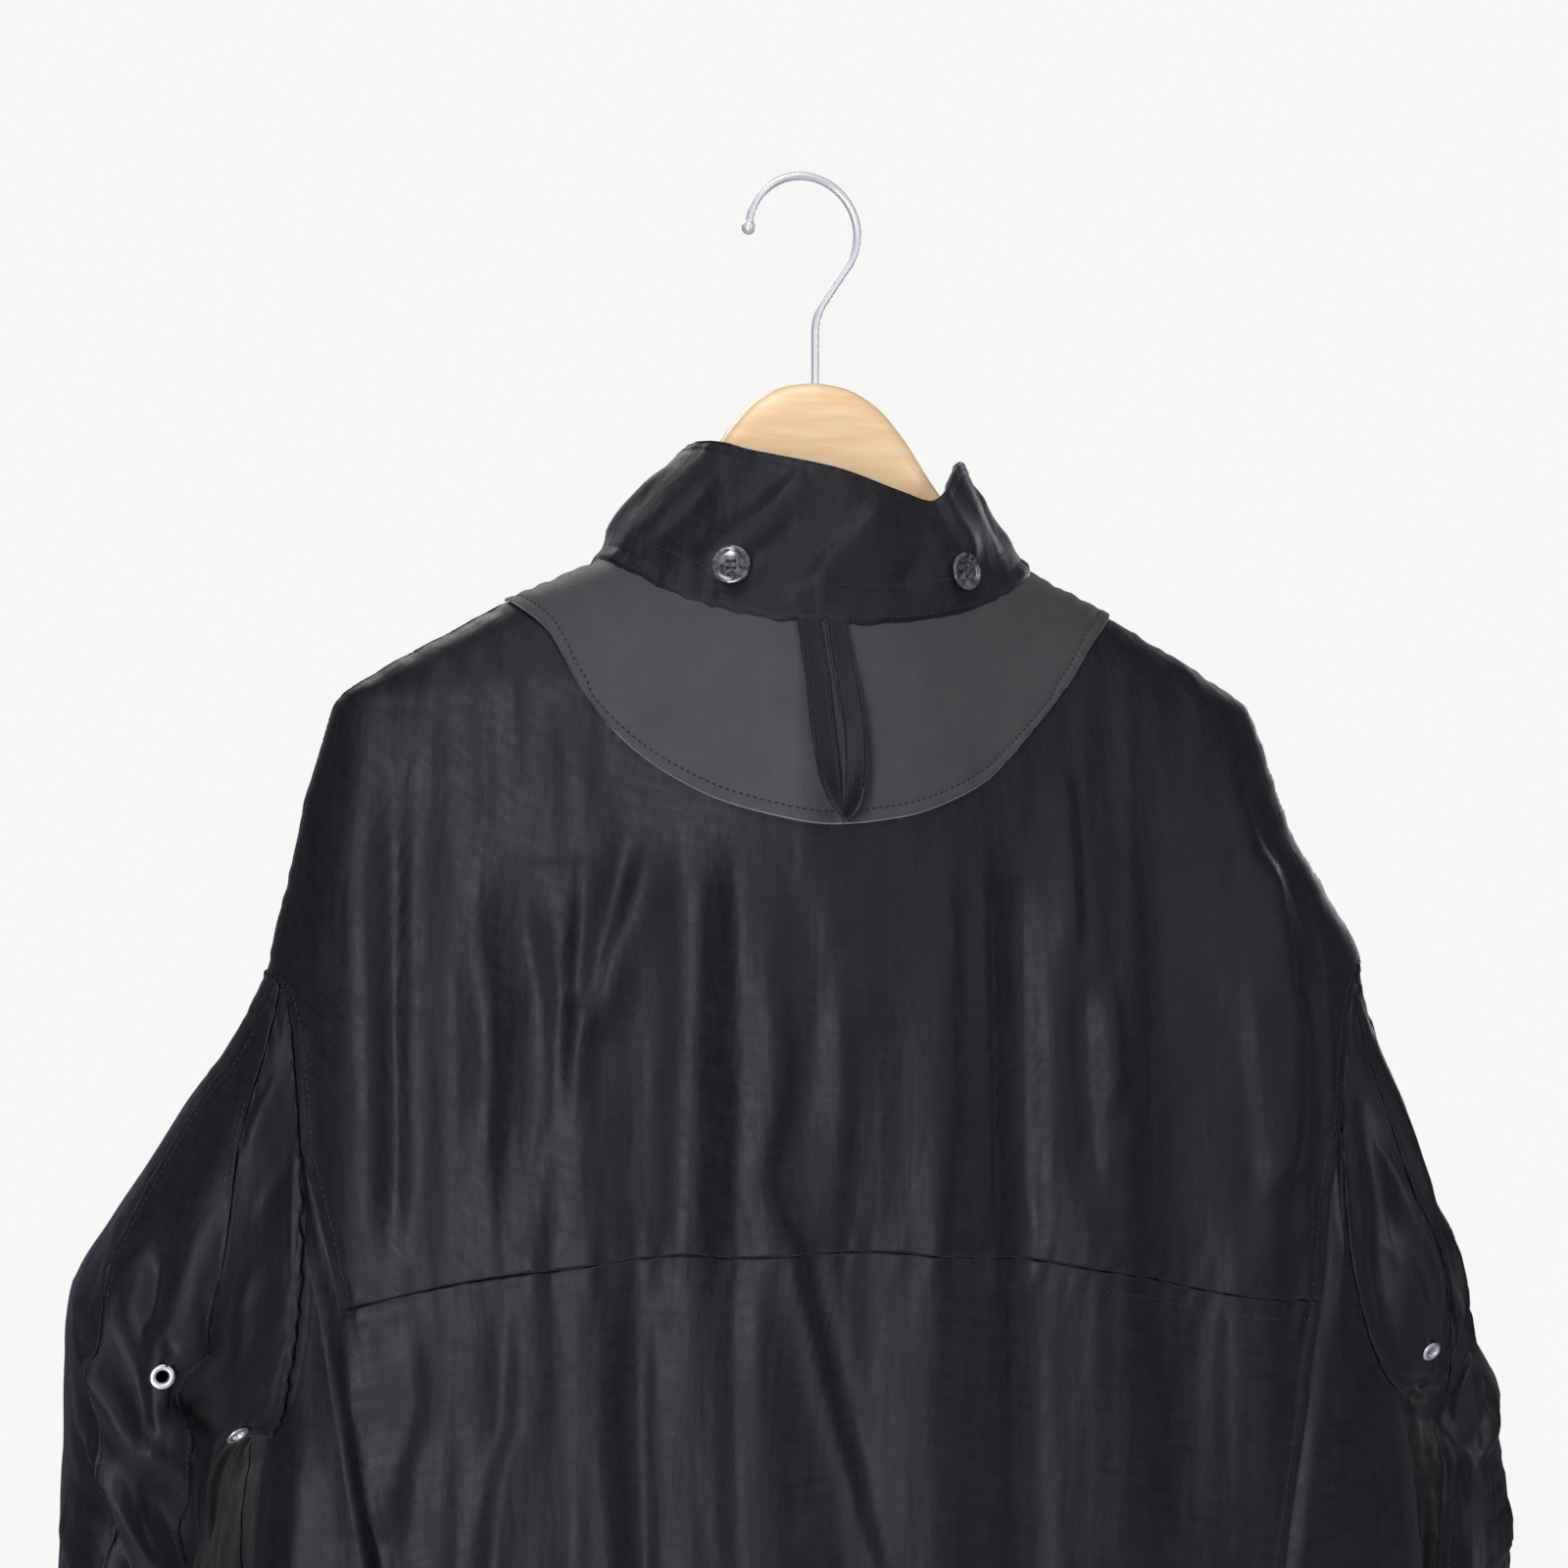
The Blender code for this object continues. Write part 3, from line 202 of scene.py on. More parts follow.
# Creases of the back: half width, height, lean (+ is softer on the jacket's left side) and the line that
# each follows, as x and z
BACK_CREASES = (
    (15, 4.5, 0.6, (211, -250), (211, -323), (209, -385), (207, -452), (209, -540)),
    (8, -4.5, 0.3, (198, -270), (199, -340), (198, -407), (196, -474), (198, -532)),
    (
        12, 3.6, 0.55,
        (146, -300), (142, -350), (136, -374), (131, -397), (131, -430), (136, -469), (139, -509),
    ),
    (10, -2.8, 0.0, (166, -300), (163, -360), (156, -420), (160, -500)),
    (9, 3.4, 0.4, (105, -300), (105, -358), (111, -389), (114, -415), (117, -450)),
    (8, 3.2, -0.3, (81, -308), (89, -350), (101, -385), (110, -420)),
    (6, -4.0, 0.2, (97, -318), (104, -360), (108, -385), (112, -402)),
    (7, -3.0, 0.3, (118, -330), (121, -374), (122, -410), (124, -450)),
    (14, -3.6, 0.0, (66, -302), (64, -363), (63, -430), (65, -496), (66, -540)),
    (9, 3.6, 0.5, (30, -300), (28, -382), (25, -430), (30, -474), (20, -501), (12, -525), (2, -580)),
    (6, 2.2, 0.3, (-3, -375), (-6, -446), (-4, -515)),
    (7, -2.4, 0.0, (14, -330), (9, -400), (10, -470)),
    (8, 2.8, 0.4, (-49, -298), (-53, -363), (-54, -430), (-51, -496), (-53, -580)),
    (8, 3.8, 0.7, (-73, -300), (-75, -385), (-77, -474), (-81, -563), (-84, -700)),
    (9, -4.2, 0.4, (-92, -306), (-95, -385), (-97, -474), (-103, -540)),
    (7, 3.0, 0.5, (-119, -282), (-119, -332), (-119, -388)),
    (7, -3.4, 0.2, (-125, -380), (-127, -434), (-128, -500)),
    (7, 2.6, 0.5, (-138, -386), (-139, -421), (-139, -455)),
    (14, -3.4, 0.0, (-190, -370), (-204, -452), (-210, -530)),
    (7, 4.2, 0.5, (-214, -280), (-226, -336), (-229, -365), (-232, -391), (-238, -415), (-247, -440)),
    (6, 3.0, 0.4, (-229, -325), (-237, -360), (-248, -396)),
    (9, 3.2, 0.3, (-232, -408), (-235, -447), (-229, -478), (-214, -492)),
    (4, 2.2, 0.2, (-239, -480), (-239, -520)),
    (9, 3.4, 0.5, (148, -512), (144, -552), (145, -583), (152, -608), (159, -670), (165, -780)),
    (9, 3.0, 0.5, (191, -528), (186, -576), (192, -611), (196, -652)),
    (4.5, 2.8, 0.5, (22, -486), (15, -517), (7, -544), (-3, -580), (-16, -624), (-28, -665), (-40, -740)),
    (5, -2.2, 0.0, (10, -500), (2, -530), (-10, -572), (-26, -630)),
    (8, -3.6, 0.3, (84, -516), (83, -585), (81, -652), (84, -760)),
    (8, 2.2, 0.4, (-157, -530), (-157, -599), (-155, -670)),
    (9, 3.0, 0.4, (104, -640), (100, -720), (110, -840), (112, -940)),
    (9, -3.0, 0.2, (44, -660), (52, -760), (46, -880), (50, -955)),
    (8, 3.0, 0.5, (-120, -640), (-112, -740), (-122, -850), (-118, -950)),
    (8, -2.6, 0.2, (-60, -680), (-64, -780), (-54, -900)),
    (9, 2.6, 0.4, (30, -720), (22, -820), (30, -930)),
    (15, 6.0, 0.2, (236, -545), (240, -640), (243, -720), (247, -850), (250, -955)),
)
FRONT_CREASES = (
    (15, 4.0, 0.5, (200, -262), (196, -380), (190, -520), (186, -680)),
    (9, 3.2, 0.4, (150, -290), (146, -380), (136, -470), (128, -560)),
    (8, -3.2, 0.2, (170, -320), (166, -420), (158, -520)),
    (10, 3.4, 0.5, (104, -320), (98, -440), (104, -560), (112, -700)),
    (8, -3.0, 0.2, (78, -380), (74, -500), (80, -640)),
    (9, 3.0, 0.5, (150, -640), (144, -760), (152, -900)),
    (9, 2.8, 0.4, (90, -720), (84, -820), (92, -940)),
    (9, -2.8, 0.2, (122, -700), (118, -820), (126, -930)),
    (9, 3.2, -0.5, (-96, -330), (-92, -440), (-100, -580), (-110, -700)),
    (8, -3.0, -0.2, (-70, -360), (-66, -500), (-74, -640)),
    (9, 3.4, -0.5, (-140, -290), (-132, -400), (-128, -500), (-136, -620)),
    (15, 4.2, -0.5, (-212, -270), (-206, -380), (-200, -520), (-204, -680)),
    (8, -3.2, -0.2, (-172, -330), (-166, -440), (-160, -540)),
    (9, 3.0, -0.5, (-160, -660), (-156, -780), (-166, -920)),
    (9, 3.0, -0.4, (-96, -740), (-88, -840), (-94, -950)),
    (8, -2.6, -0.2, (-126, -720), (-122, -840), (-130, -940)),
    (10, 3.0, 0.4, (236, -620), (230, -720), (238, -860)),
    (10, 3.0, -0.4, (-262, -620), (-258, -730), (-266, -870)),
)


def monotone(xs, ys, at):
    """A smooth curve through the points (xs, ys) that never overshoots them."""
    order = np.argsort(xs)
    x, y = np.asarray(xs, float)[order], np.asarray(ys, float)[order]
    gap = np.diff(x)
    slope = np.diff(y) / gap
    same_way = slope[:-1] * slope[1:] > 0
    tangent = np.zeros_like(y)
    tangent[0], tangent[-1] = slope[0], slope[-1]
    tangent[1:-1] = np.where(
        same_way, 2 * slope[:-1] * slope[1:] / np.where(same_way, slope[:-1] + slope[1:], 1), 0
    )
    at = np.clip(at, x[0], x[-1])
    i = np.clip(np.searchsorted(x, at) - 1, 0, len(gap) - 1)
    s = (at - x[i]) / gap[i]
    return (
        y[i] * (1 + 2 * s) * (1 - s) ** 2
        + y[i + 1] * s * s * (3 - 2 * s)
        + gap[i] * (tangent[i] * s * (1 - s) ** 2 - tangent[i + 1] * s * s * (1 - s))
    )


def column(table, columns, name, at):
    """One named column of a table, read smoothly at a value of its first column."""
    return monotone(table[:, 0], table[:, columns.index(name)], at)


def body_column(name, z):
    return column(BODY, BODY_COLUMNS, name, z)


def half_width(x_sign, z):
    return np.where(x_sign >= 0, body_column("left", z), body_column("right", z))


def fold_heights(table, x, z):
    """How far all the folds of a table move the cloth out at x, z."""
    total = np.zeros(np.broadcast(x, z).shape)
    for x_top, z_top, x_bottom, z_bottom, width, height in table:
        s = np.clip((z_top - z) / (z_top - z_bottom), 0, 1)
        middle = x_top + (x_bottom - x_top) * s
        fade = np.clip(4 * s * (1 - s), 0, 1) ** 0.5 if z_bottom > HEM_Z else np.clip(3 * s, 0, 1)
        total += height * fade * np.exp(-(((x - middle) / width) ** 2))
    return total


def crease_heights(creases, u, v):
    """How far a list of creases moves the cloth out at u, v."""
    total = np.zeros(u.shape)
    for width, height, lean, *path in creases:
        path = np.array(path, float)
        steps = np.arange(len(path))
        fine = np.linspace(0, len(path) - 1, CREASE_POINTS)
        line = np.stack([monotone(steps, path[:, 0], fine), monotone(steps, path[:, 1], fine)], -1)
        low, high = line.min(0) - CREASE_REACH * width, line.max(0) + CREASE_REACH * width
        near = (u > low[0]) & (u < high[0]) & (v > low[1]) & (v < high[1])
        if not near.any():
            continue
        run = np.gradient(line, axis=0)
        step = np.linalg.norm(run, axis=1)
        run /= step[:, None]
        gap = np.stack([u[near], v[near]], -1)[:, None, :] - line[None]
        k = np.argmin(np.sum(gap * gap, -1), 1)
        gap = gap[np.arange(len(k)), k]
        off = gap[:, 1] * run[k, 0] - gap[:, 0] * run[k, 1]
        along = np.clip((k + np.sum(gap * run[k], 1) / step[k]) / (len(line) - 1), 0, 1)
        ends = np.clip(np.minimum(along, 1 - along) / CREASE_FADE, 0, 1)
        fade = ends * ends * (3 - 2 * ends)
        spread = width * (1 + lean * np.tanh(off / (0.4 * width)))
        total[near] += height * fade * np.exp(-((off / spread) ** 2))
    return total


def ripples(points, wavelength, seed, count=28):
    """Even wandering values from about -1 to 1 over points, with that wavelength."""
    draw = np.random.default_rng(seed)
    ways = draw.normal(size=(count, points.shape[-1]))
    ways *= (2 * math.pi / wavelength * draw.uniform(0.6, 1.4, count) / np.linalg.norm(ways, axis=1))[:, None]
    phase = draw.uniform(0, 2 * math.pi, count)
    return np.mean([np.cos(points @ way + start) for way, start in zip(ways, phase)], 0) * (count / 2) ** 0.5


def body(theta, z):
    """Outer face of the body. theta is degrees: 0 at the back's middle, + to the left, 180 in front."""
    theta, z = np.broadcast_arrays(np.asarray(theta, float), np.asarray(z, float))
    q = np.sin(np.radians(theta))
    is_back = np.cos(np.radians(theta)) >= 0
    x = q * half_width(q, z)
    mid = np.where(is_back, body_column("back_mid", z), body_column("front_mid", z))
    side = np.where(is_back, body_column("back_side", z), body_column("front_side", z))
    edge = np.clip(1 - np.abs(q) ** body_column("square", z), 0, 1) ** (1 / EDGE_ROUND)
    folds = np.where(is_back, fold_heights(BACK_FOLDS, x, z), fold_heights(FRONT_FOLDS, x, z))
    depth = side + (mid - side) * np.exp(-((x / NECK_REACH) ** 2)) + folds
    y = np.where(is_back, depth, -depth) * edge
    twist = np.radians(body_column("twist", z))
    arm = x - HANGER_X
    return np.stack(
        [HANGER_X + arm * np.cos(twist) - y * np.sin(twist), arm * np.sin(twist) + y * np.cos(twist), z], -1
    )


def theta_at(x, z, in_front=False):
    """Degrees round the body of the point at x, before the body's twist, and z."""
    theta = np.degrees(np.arcsin(np.clip(x / half_width(x, z), -1, 1)))
    return np.where(x >= 0, 180 - theta, -180 - theta) if in_front else theta


def neckline(angle):
    """theta and z of the neck seam, by the angle round the neck."""
    across = np.sin(np.radians(angle))
    in_front = np.abs(angle) > 90
    drop = np.where(in_front, NECK_FRONT_DROP, NECK_BACK_DROP)
    z = NECK_SIDE_Z - drop * (1 - np.abs(across) ** 2.5)
    x = across * half_width(across, NECK_SIDE_Z)
    return np.where(in_front, theta_at(x, z, True), theta_at(x, z)), z


def armhole(sign, angle):
    """theta and z of the armhole: angle 0 at the shoulder, 90 behind, 180 under the arm, 270 in front."""
    c = np.cos(np.radians(angle))
    z = (ARMHOLE_TOP_Z + UNDERARM_Z) / 2 + (ARMHOLE_TOP_Z - UNDERARM_Z) / 2 * c
    cut = ARMHOLE_CUT * np.clip(1 - c * c, 0, 1) ** 0.5
    theta = np.degrees(np.arcsin(1 - cut))
    return sign * np.where(np.sin(np.radians(angle)) >= 0, theta, 180 - theta), z


def normals(surface, a, b, step_a, step_b, sign):
    """Unit normals of a surface(a, b); sign turns them to its outer side."""
    across = surface(a + step_a, b) - surface(a - step_a, b)
    along = surface(a, b + step_b) - surface(a, b - step_b)
    n = np.cross(across, along) * sign
    return n / np.maximum(np.linalg.norm(n, axis=-1, keepdims=True), 1e-9)


def body_normals(theta, z):
    return normals(body, theta, z, 0.5, 0.8, -1.0)


def ridged(points, wavelength, seed):
    """Wandering sharp ridges, each only here and there at its full height."""
    crest = (1 - np.abs(np.clip(ripples(points, wavelength, seed), -1, 1))) ** 2
    return (crest - 0.4) * np.clip(0.55 + 0.6 * ripples(points, wavelength * 2.7, seed + 50), 0.05, 1.2)


def body_crease(theta, z):
    """How far the cloth's own creases stand out from the plain body."""
    theta, z = np.broadcast_arrays(np.asarray(theta, float), np.asarray(z, float))
    q = np.sin(np.radians(theta))
    x = q * half_width(q, z)
    is_back = np.cos(np.radians(theta)) >= 0
    creases = np.where(is_back, crease_heights(BACK_CREASES, x, z), crease_heights(FRONT_CREASES, x, z))
    spot = np.stack([x, z * 0.06, is_back * 400.0], -1)
    broad, narrow, fine = STREAK_HEIGHTS
    streaks = broad * ridged(spot, STREAK_WAVES[0], 3)
    streaks = streaks + narrow * ridged(spot * (1, 1.3, 1), STREAK_WAVES[1], 4)
    streaks = streaks + fine * ripples(spot * (1, 2, 1), STREAK_WAVES[2], 5)
    at_side = np.clip(2.2 * (1 - np.abs(q) ** 6), 0, 1)
    edge_z = np.interp(x, LEATHER_EDGE[::-1, 0], LEATHER_EDGE[::-1, 1])
    under_leather = np.where(is_back, np.clip((edge_z + 8 - z) / 50, 0.15, 1), 1)
    at_neck = np.clip((NECK_SIDE_Z - 8 - z) / 50, 0, 1) * under_leather
    return (CREASE_STRENGTH * creases + streaks) * at_side * at_neck


def cloth(theta, z):
    """The body with its creases."""
    return body(theta, z) + body_normals(theta, z) * body_crease(theta, z)[..., None]


def grid_normals(grid, out):
    """Unit normals of a grid's own shape, on the side that out is."""
    made = np.cross(np.gradient(grid, axis=0), np.gradient(grid, axis=1))
    made *= np.sign(np.sum(made * out))
    return made / np.maximum(np.linalg.norm(made, axis=-1, keepdims=True), 1e-9)


def unit(v):
    return v / np.maximum(np.linalg.norm(v, axis=-1, keepdims=True), 1e-9)


def edge_ways(grid):
    """For each border point of a grid, the way that leads square to the border into the cloth."""
    inward = np.zeros_like(grid)
    for where, step in (
        ((0, slice(None)), grid[1] - grid[0]), ((-1, slice(None)), grid[-2] - grid[-1]),
        ((slice(None), 0), grid[:, 1] - grid[:, 0]), ((slice(None), -1), grid[:, -2] - grid[:, -1]),
    ):
        run = unit(np.gradient(grid[where], axis=0))
        inward[where] += unit(step - run * np.sum(step * run, -1, keepdims=True))
    return inward


def lengths(points):
    """Length from the first row of points to each row of them, for every column."""
    step = np.linalg.norm(np.diff(points, axis=0), axis=-1)
    return np.concatenate([np.zeros((1, *step.shape[1:])), np.cumsum(step, 0)])


def points_along(at, length, points):
    """The points that are at those lengths along a line of points."""
    return np.stack([np.interp(at, length, points[:, k]) for k in range(points.shape[1])], -1)


def laid_flat(grid):
    """A u, v map in metres of a grid laid flat."""
    across = lengths(grid.swapaxes(0, 1)).swapaxes(0, 1)
    across = across - across[:, -1:] / 2
    return np.stack([across * MM, -lengths(grid) * MM], -1)


HOLE_MARGIN = 0.2
RIM_OUT = 0.87
RIM_DROPS = (0.5, 1.5)


def shell(name, grid, out, thick, material, holes=(), edge_material=None):
    """A sewn panel with a rounded edge all round, whose outer face is the grid, rows by columns, in mm.

    holes are (place, axis, radius): the cloth is cut away there, and its cut edge lies on that circle.
    """
    rows, cols = grid.shape[:2]
    normal = grid_normals(grid, out)
    inward = edge_ways(grid)
    half_thick = thick / 2
    face = grid + inward * (half_thick + SEAM_GAP / 2)
    index = np.arange(rows * cols).reshape(rows, cols)
    lining = face - normal * thick
    quad_index = np.stack([index[:-1, :-1], index[:-1, 1:], index[1:, 1:], index[1:, :-1]], -1).reshape(-1, 4)
    cut_walls = []
    for place, axis, radius in holes:
        middles = face.reshape(-1, 3)[quad_index].mean(1)
        gone = np.linalg.norm(middles - place, axis=1) < radius + HOLE_MARGIN
        inside, quad_index = quad_index[gone], quad_index[~gone]
        edges = {(a, b) for quad in inside for a, b in zip(quad.tolist(), np.roll(quad, -1).tolist())}
        edges = [(a, b) for a, b in edges if (b, a) not in edges]
        cut_walls += [(a, b, b + rows * cols, a + rows * cols) for a, b in edges]
        rim = np.array(sorted({a for a, _ in edges}))
        for layer in (face.reshape(-1, 3), lining.reshape(-1, 3)):
            away = layer[rim] - place
            high = away @ axis
            level = away - high[:, None] * axis
            layer[rim] = place + unit(level) * radius + high[:, None] * axis
    loop = np.concatenate([index[0, :-1], index[:-1, -1], index[-1, :0:-1], index[:0:-1, 0]])
    corner, square, up = face.reshape(-1, 3)[loop], inward.reshape(-1, 3)[loop], normal.reshape(-1, 3)[loop]
    rims = [corner - square * half_thick * RIM_OUT - up * half_thick * drop for drop in RIM_DROPS]
    points = np.concatenate([face.reshape(-1, 3), lining.reshape(-1, 3), *rims]) * MM
    a, b, c, d = quad_index.T
    count, ring = rows * cols, np.arange(len(loop))
    after = np.roll(ring, -1)
    first, second = 2 * count + ring, 2 * count + len(loop) + ring
    quads = [np.stack([a, b, c, d], 1), np.stack([d, c, b, a], 1) + count]
    for low, high in ((loop, first), (first, second), (second, loop + count)):
        quads.append(np.stack([low[after], low, high, high[after]], 1))
    edge_start = 2 * len(quad_index)
    edge_count = 3 * len(loop)
    quads = np.concatenate([*quads, np.array(cut_walls, int).reshape(-1, 4)])
    p = face.reshape(-1, 3)
    if np.sum(np.cross(p[b] - p[a], p[c] - p[b]) * normal.reshape(-1, 3)[a]) < 0:
        quads = quads[:, ::-1]
    flat = laid_flat(grid).reshape(-1, 2)
    made = mesh_object(name, points, quads, material, np.concatenate([flat, flat, flat[loop], flat[loop]]))
    if edge_material:
        made.data.materials.append(edge_material)
        slots = np.zeros(len(quads), np.int32)
        slots[edge_start:edge_start + edge_count] = 1
        made.data.polygons.foreach_set("material_index", slots)
    return made


def mesh_object(name, points, quads, material, flat=None):
    """An object of four-sided faces, smooth, with flat as its u, v map."""
    mesh = bpy.data.meshes.new(name)
    mesh.vertices.add(len(points))
    mesh.vertices.foreach_set("co", np.asarray(points, np.float32).ravel())
    mesh.loops.add(quads.size)
    mesh.loops.foreach_set("vertex_index", quads.astype(np.int32).ravel())
    mesh.polygons.add(len(quads))
    mesh.polygons.foreach_set("loop_start", np.arange(0, quads.size, quads.shape[1], dtype=np.int32))
    mesh.update(calc_edges=True)
    mesh.validate()
    if flat is not None:
        corners = flat[quads.ravel()].astype(np.float32)
        mesh.uv_layers.new(name="cloth").data.foreach_set("uv", corners.ravel())
    mesh.shade_smooth()
    mesh.materials.append(material)
    made = bpy.data.objects.new(name, mesh)
    bpy.context.scene.collection.objects.link(made)
    return made


def spaced(length, step, fine=1.3, band=10.4):
    """Shares along a run of that length in mm: close steps in the band beside each end, then even ones."""
    near = np.arange(0, band, fine)
    middle = np.linspace(band, length - band, max(2, round((length - 2 * band) / step) + 1))
    return np.concatenate([near, middle, (length - near)[::-1]]) / length


def run_length(line):
    """Length along a (theta, z) line on the body, at each of its points."""
    return lengths(body(line[:, 0], line[:, 1]))


def shared_out(line, shares):
    """The points of a (theta, z) line at those shares of its length."""
    length = run_length(line)
    return points_along(shares, length / length[-1], line)


def smooth_line(curve, count=400):
    """A (theta, z) line through x, z points on the back."""
    fine, steps = np.linspace(0, len(curve) - 1, count), np.arange(len(curve))
    x, z = monotone(steps, curve[:, 0], fine), monotone(steps, curve[:, 1], fine)
    return np.stack([theta_at(x, z), z], -1)


def share_of(line, k):
    """How far along a border each of its points is, by its own coordinate k."""
    return (line[:, k] - line[0, k]) / (line[-1, k] - line[0, k])


BORDER_REACH = 0.12
BORDER_ROUNDS = 260


def evened(v, rounds):
    """The same run of values with its quick turns evened out against their neighbours."""
    v = v.copy()
    for _ in range(rounds):
        v[1:-1] = (v[:-2] + 2 * v[1:-1] + v[2:]) / 4
    return v


def grid_between(top, bottom, left, right, rows, cols):
    """A (theta, z) grid between four borders, at those shares down and across."""
    u, v_even = cols[None, :], rows[:, None]
    v = (1 - u) * share_of(left, 1)[:, None] + u * share_of(right, 1)[:, None]
    v = v + (v_even - v) * np.clip(6 * u * (1 - u), 0, 1)
    c = (1 - v) * share_of(top, 0)[None, :] + v * share_of(bottom, 0)[None, :]
    smooth_left, smooth_right = (evened(line[:, 0], BORDER_ROUNDS)[:, None] for line in (left, right))
    theta = smooth_left + (smooth_right - smooth_left) * c
    theta = theta + (left[:, :1] - smooth_left) * np.exp(-c / BORDER_REACH)
    theta = theta + (right[:, :1] - smooth_right) * np.exp(-(1 - c) / BORDER_REACH)
    z = top[None, :, 1] + (bottom[None, :, 1] - top[None, :, 1]) * v
    return np.stack([theta, z], -1)


def shoulder_border(sign, z):
    return np.stack([np.full(len(z), 90.0 * sign), z], -1)


def armhole_border(sign, angles):
    theta, z = armhole(sign, np.asarray(angles, float))
    return np.stack([theta, z], -1)


def pleat_x(sign, z):
    return sign * column(PLEAT, PLEAT_COLUMNS, "left" if sign > 0 else "right", z)


def pleat_border(sign, z):
    return np.stack([theta_at(pleat_x(sign, z), z), z], -1)


STITCH_LENGTH = 2.5
STITCH_PITCH = 3.3
STITCH_THICK = 0.5
STITCH_INSET = 2
# A stitch's four rings: share of its length, height and width as shares of its thickness
STITCH_RINGS = ((-0.5, -0.35, 0.35), (-0.25, 0.12, 1.0), (0.25, 0.12, 1.0), (0.5, -0.35, 0.35))
BAND = 7.0
PUCKER = 0.7
PUCKER_WAVE = 8.0
ROPE_TURN = 9.0
ROPE_MIDDLE = 5.0
ROPE_HALF = 3.6


def border_run(grid, side):
    """A grid turned so that the named border is its first row: (grid, distance from the border)."""
    turned_grid = grid.swapaxes(0, 1) if side in ("left", "right") else grid
    turned_grid = turned_grid[::-1] if side in ("bottom", "right") else turned_grid
    return turned_grid, lengths(turned_grid)


def turned_back(values, side):
    """Values of a turned grid, in the order of the grid itself."""
    values = values[::-1] if side in ("bottom", "right") else values
    return values.swapaxes(0, 1) if side in ("left", "right") else values


def rope(grid, side, high):
    """A gathered seam's roll beside a border, wrung like a rope, as high as high says along the border."""
    turned_grid, far = border_run(grid, side)
    along = lengths(turned_grid[0])
    wrung = np.cos(2 * math.pi * (along[None] - 1.2 * far) / ROPE_TURN + ripples(turned_grid[:1], 30, 41))
    return turned_back(high * np.exp(-(((far - ROPE_MIDDLE) / ROPE_HALF) ** 2)) * (1 + 0.45 * wrung), side)


def seam_relief(grid, seams):
    """How far seams move the cloth beside them: seams are {side: (pucker, reach, raised band)}."""
    total = np.zeros(grid.shape[:2])
    for side, (pucker, reach, band) in seams.items():
        turned_grid, far = border_run(grid, side)
        wave = ripples(turned_grid[:1], PUCKER_WAVE, 11)
        wave = wave + 0.6 * ripples(turned_grid[:1], PUCKER_WAVE * 2.6, 12)
        fold = pucker * wave * np.exp(-((far / reach) ** 2)) * np.clip(far / 1.5, 0.3, 1)
        raised = band * np.clip(far / 1.2, 0, 1) * np.clip((BAND + 3.0 - far) / 2.0, 0, 1)
        dimple = -0.35 * (1 + 0.6 * wave) * np.exp(-(((far - BAND) / 1.4) ** 2)) * (band > 0)
        total += turned_back(fold + raised + dimple, side)
    return total


def stitch_row(grid, out, side, distance, skip=(0.0, 1.0)):
    """Places, runs and normals of stitches beside a border of a grid, from one share of it to another."""
    turned_grid, far = border_run(grid, side)
    turned_out, _ = border_run(out, side)
    row, facing = (
        np.array([
            [np.interp(distance, far[:, j], values[:, j, k]) for k in range(3)] for j in range(far.shape[1])
        ])
        for values in (turned_grid, turned_out)
    )
    length = lengths(row)
    at = np.arange(length[-1] * skip[0] + STITCH_INSET, length[-1] * skip[1] - STITCH_INSET, STITCH_PITCH)
    middle, ahead = points_along(at, length, row), points_along(at + 0.5, length, row)
    return middle, unit(ahead - middle), unit(points_along(at, length, facing))


def select_only(made):
    bpy.ops.object.select_all(action="DESELECT")
    made.select_set(True)
    bpy.context.view_layer.objects.active = made


def turn_outward(made):
    """Turns every face of a closed piece outward."""
    select_only(made)
    bpy.ops.object.mode_set(mode="EDIT")
    bpy.ops.mesh.select_all(action="SELECT")
    bpy.ops.mesh.normals_make_consistent(inside=False)
    bpy.ops.object.mode_set(mode="OBJECT")


def stitches(name, rows, material, thick=STITCH_THICK, length=STITCH_LENGTH):
    """One mesh of short sewn threads, each sunk at its ends, along rows of places."""
    middle, run, up = (np.concatenate([row[k] for row in rows]) for k in range(3))
    side = np.cross(up, run)
    rings = []
    for share, high, wide in STITCH_RINGS:
        centre = middle + run * length * share + up * high * thick
        rings += [
            centre + (side * math.cos(turn) + up * math.sin(turn)) * thick * 0.5 * wide
            for turn in np.radians((0, 90, 180, 270))
        ]
    points = np.stack(rings, 1)
    quads = [
        (4 * i + j, 4 * i + after, 4 * i + 4 + after, 4 * i + 4 + j)
        for i in range(3) for j, after in enumerate((1, 2, 3, 0))
    ]
    quads += [(3, 2, 1, 0), (12, 13, 14, 15)]
    quads = np.array(quads)[None] + np.arange(len(points))[:, None, None] * 16
    made = mesh_object(name, points.reshape(-1, 3) * MM, quads.reshape(-1, 4)[:, ::-1], material)
    turn_outward(made)
    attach(made, "root")


def set_inputs(tree, node, inputs):
    """Sets each named input of a node to a value, or links it to another node's output."""
    for label, value in inputs.items():
        if isinstance(value, bpy.types.NodeSocket):
            tree.links.new(value, node.inputs[label])
        else:
            node.inputs[label].default_value = value
    return node


def add_node(tree, kind, inputs):
    return set_inputs(tree, tree.nodes.new(f"ShaderNode{kind}"), inputs)


def new_material(name):
    """A material and its tree of nodes."""
    made = bpy.data.materials.new(name)
    made.use_nodes = True
    return made, made.node_tree


def mixed_colour(tree, share, dark, pale):
    tone = tree.nodes.new("ShaderNodeMix")
    tone.data_type = "RGBA"
    return set_inputs(tree, tone, {0: share, 6: (*dark, 1), 7: (*pale, 1)}).outputs[2]


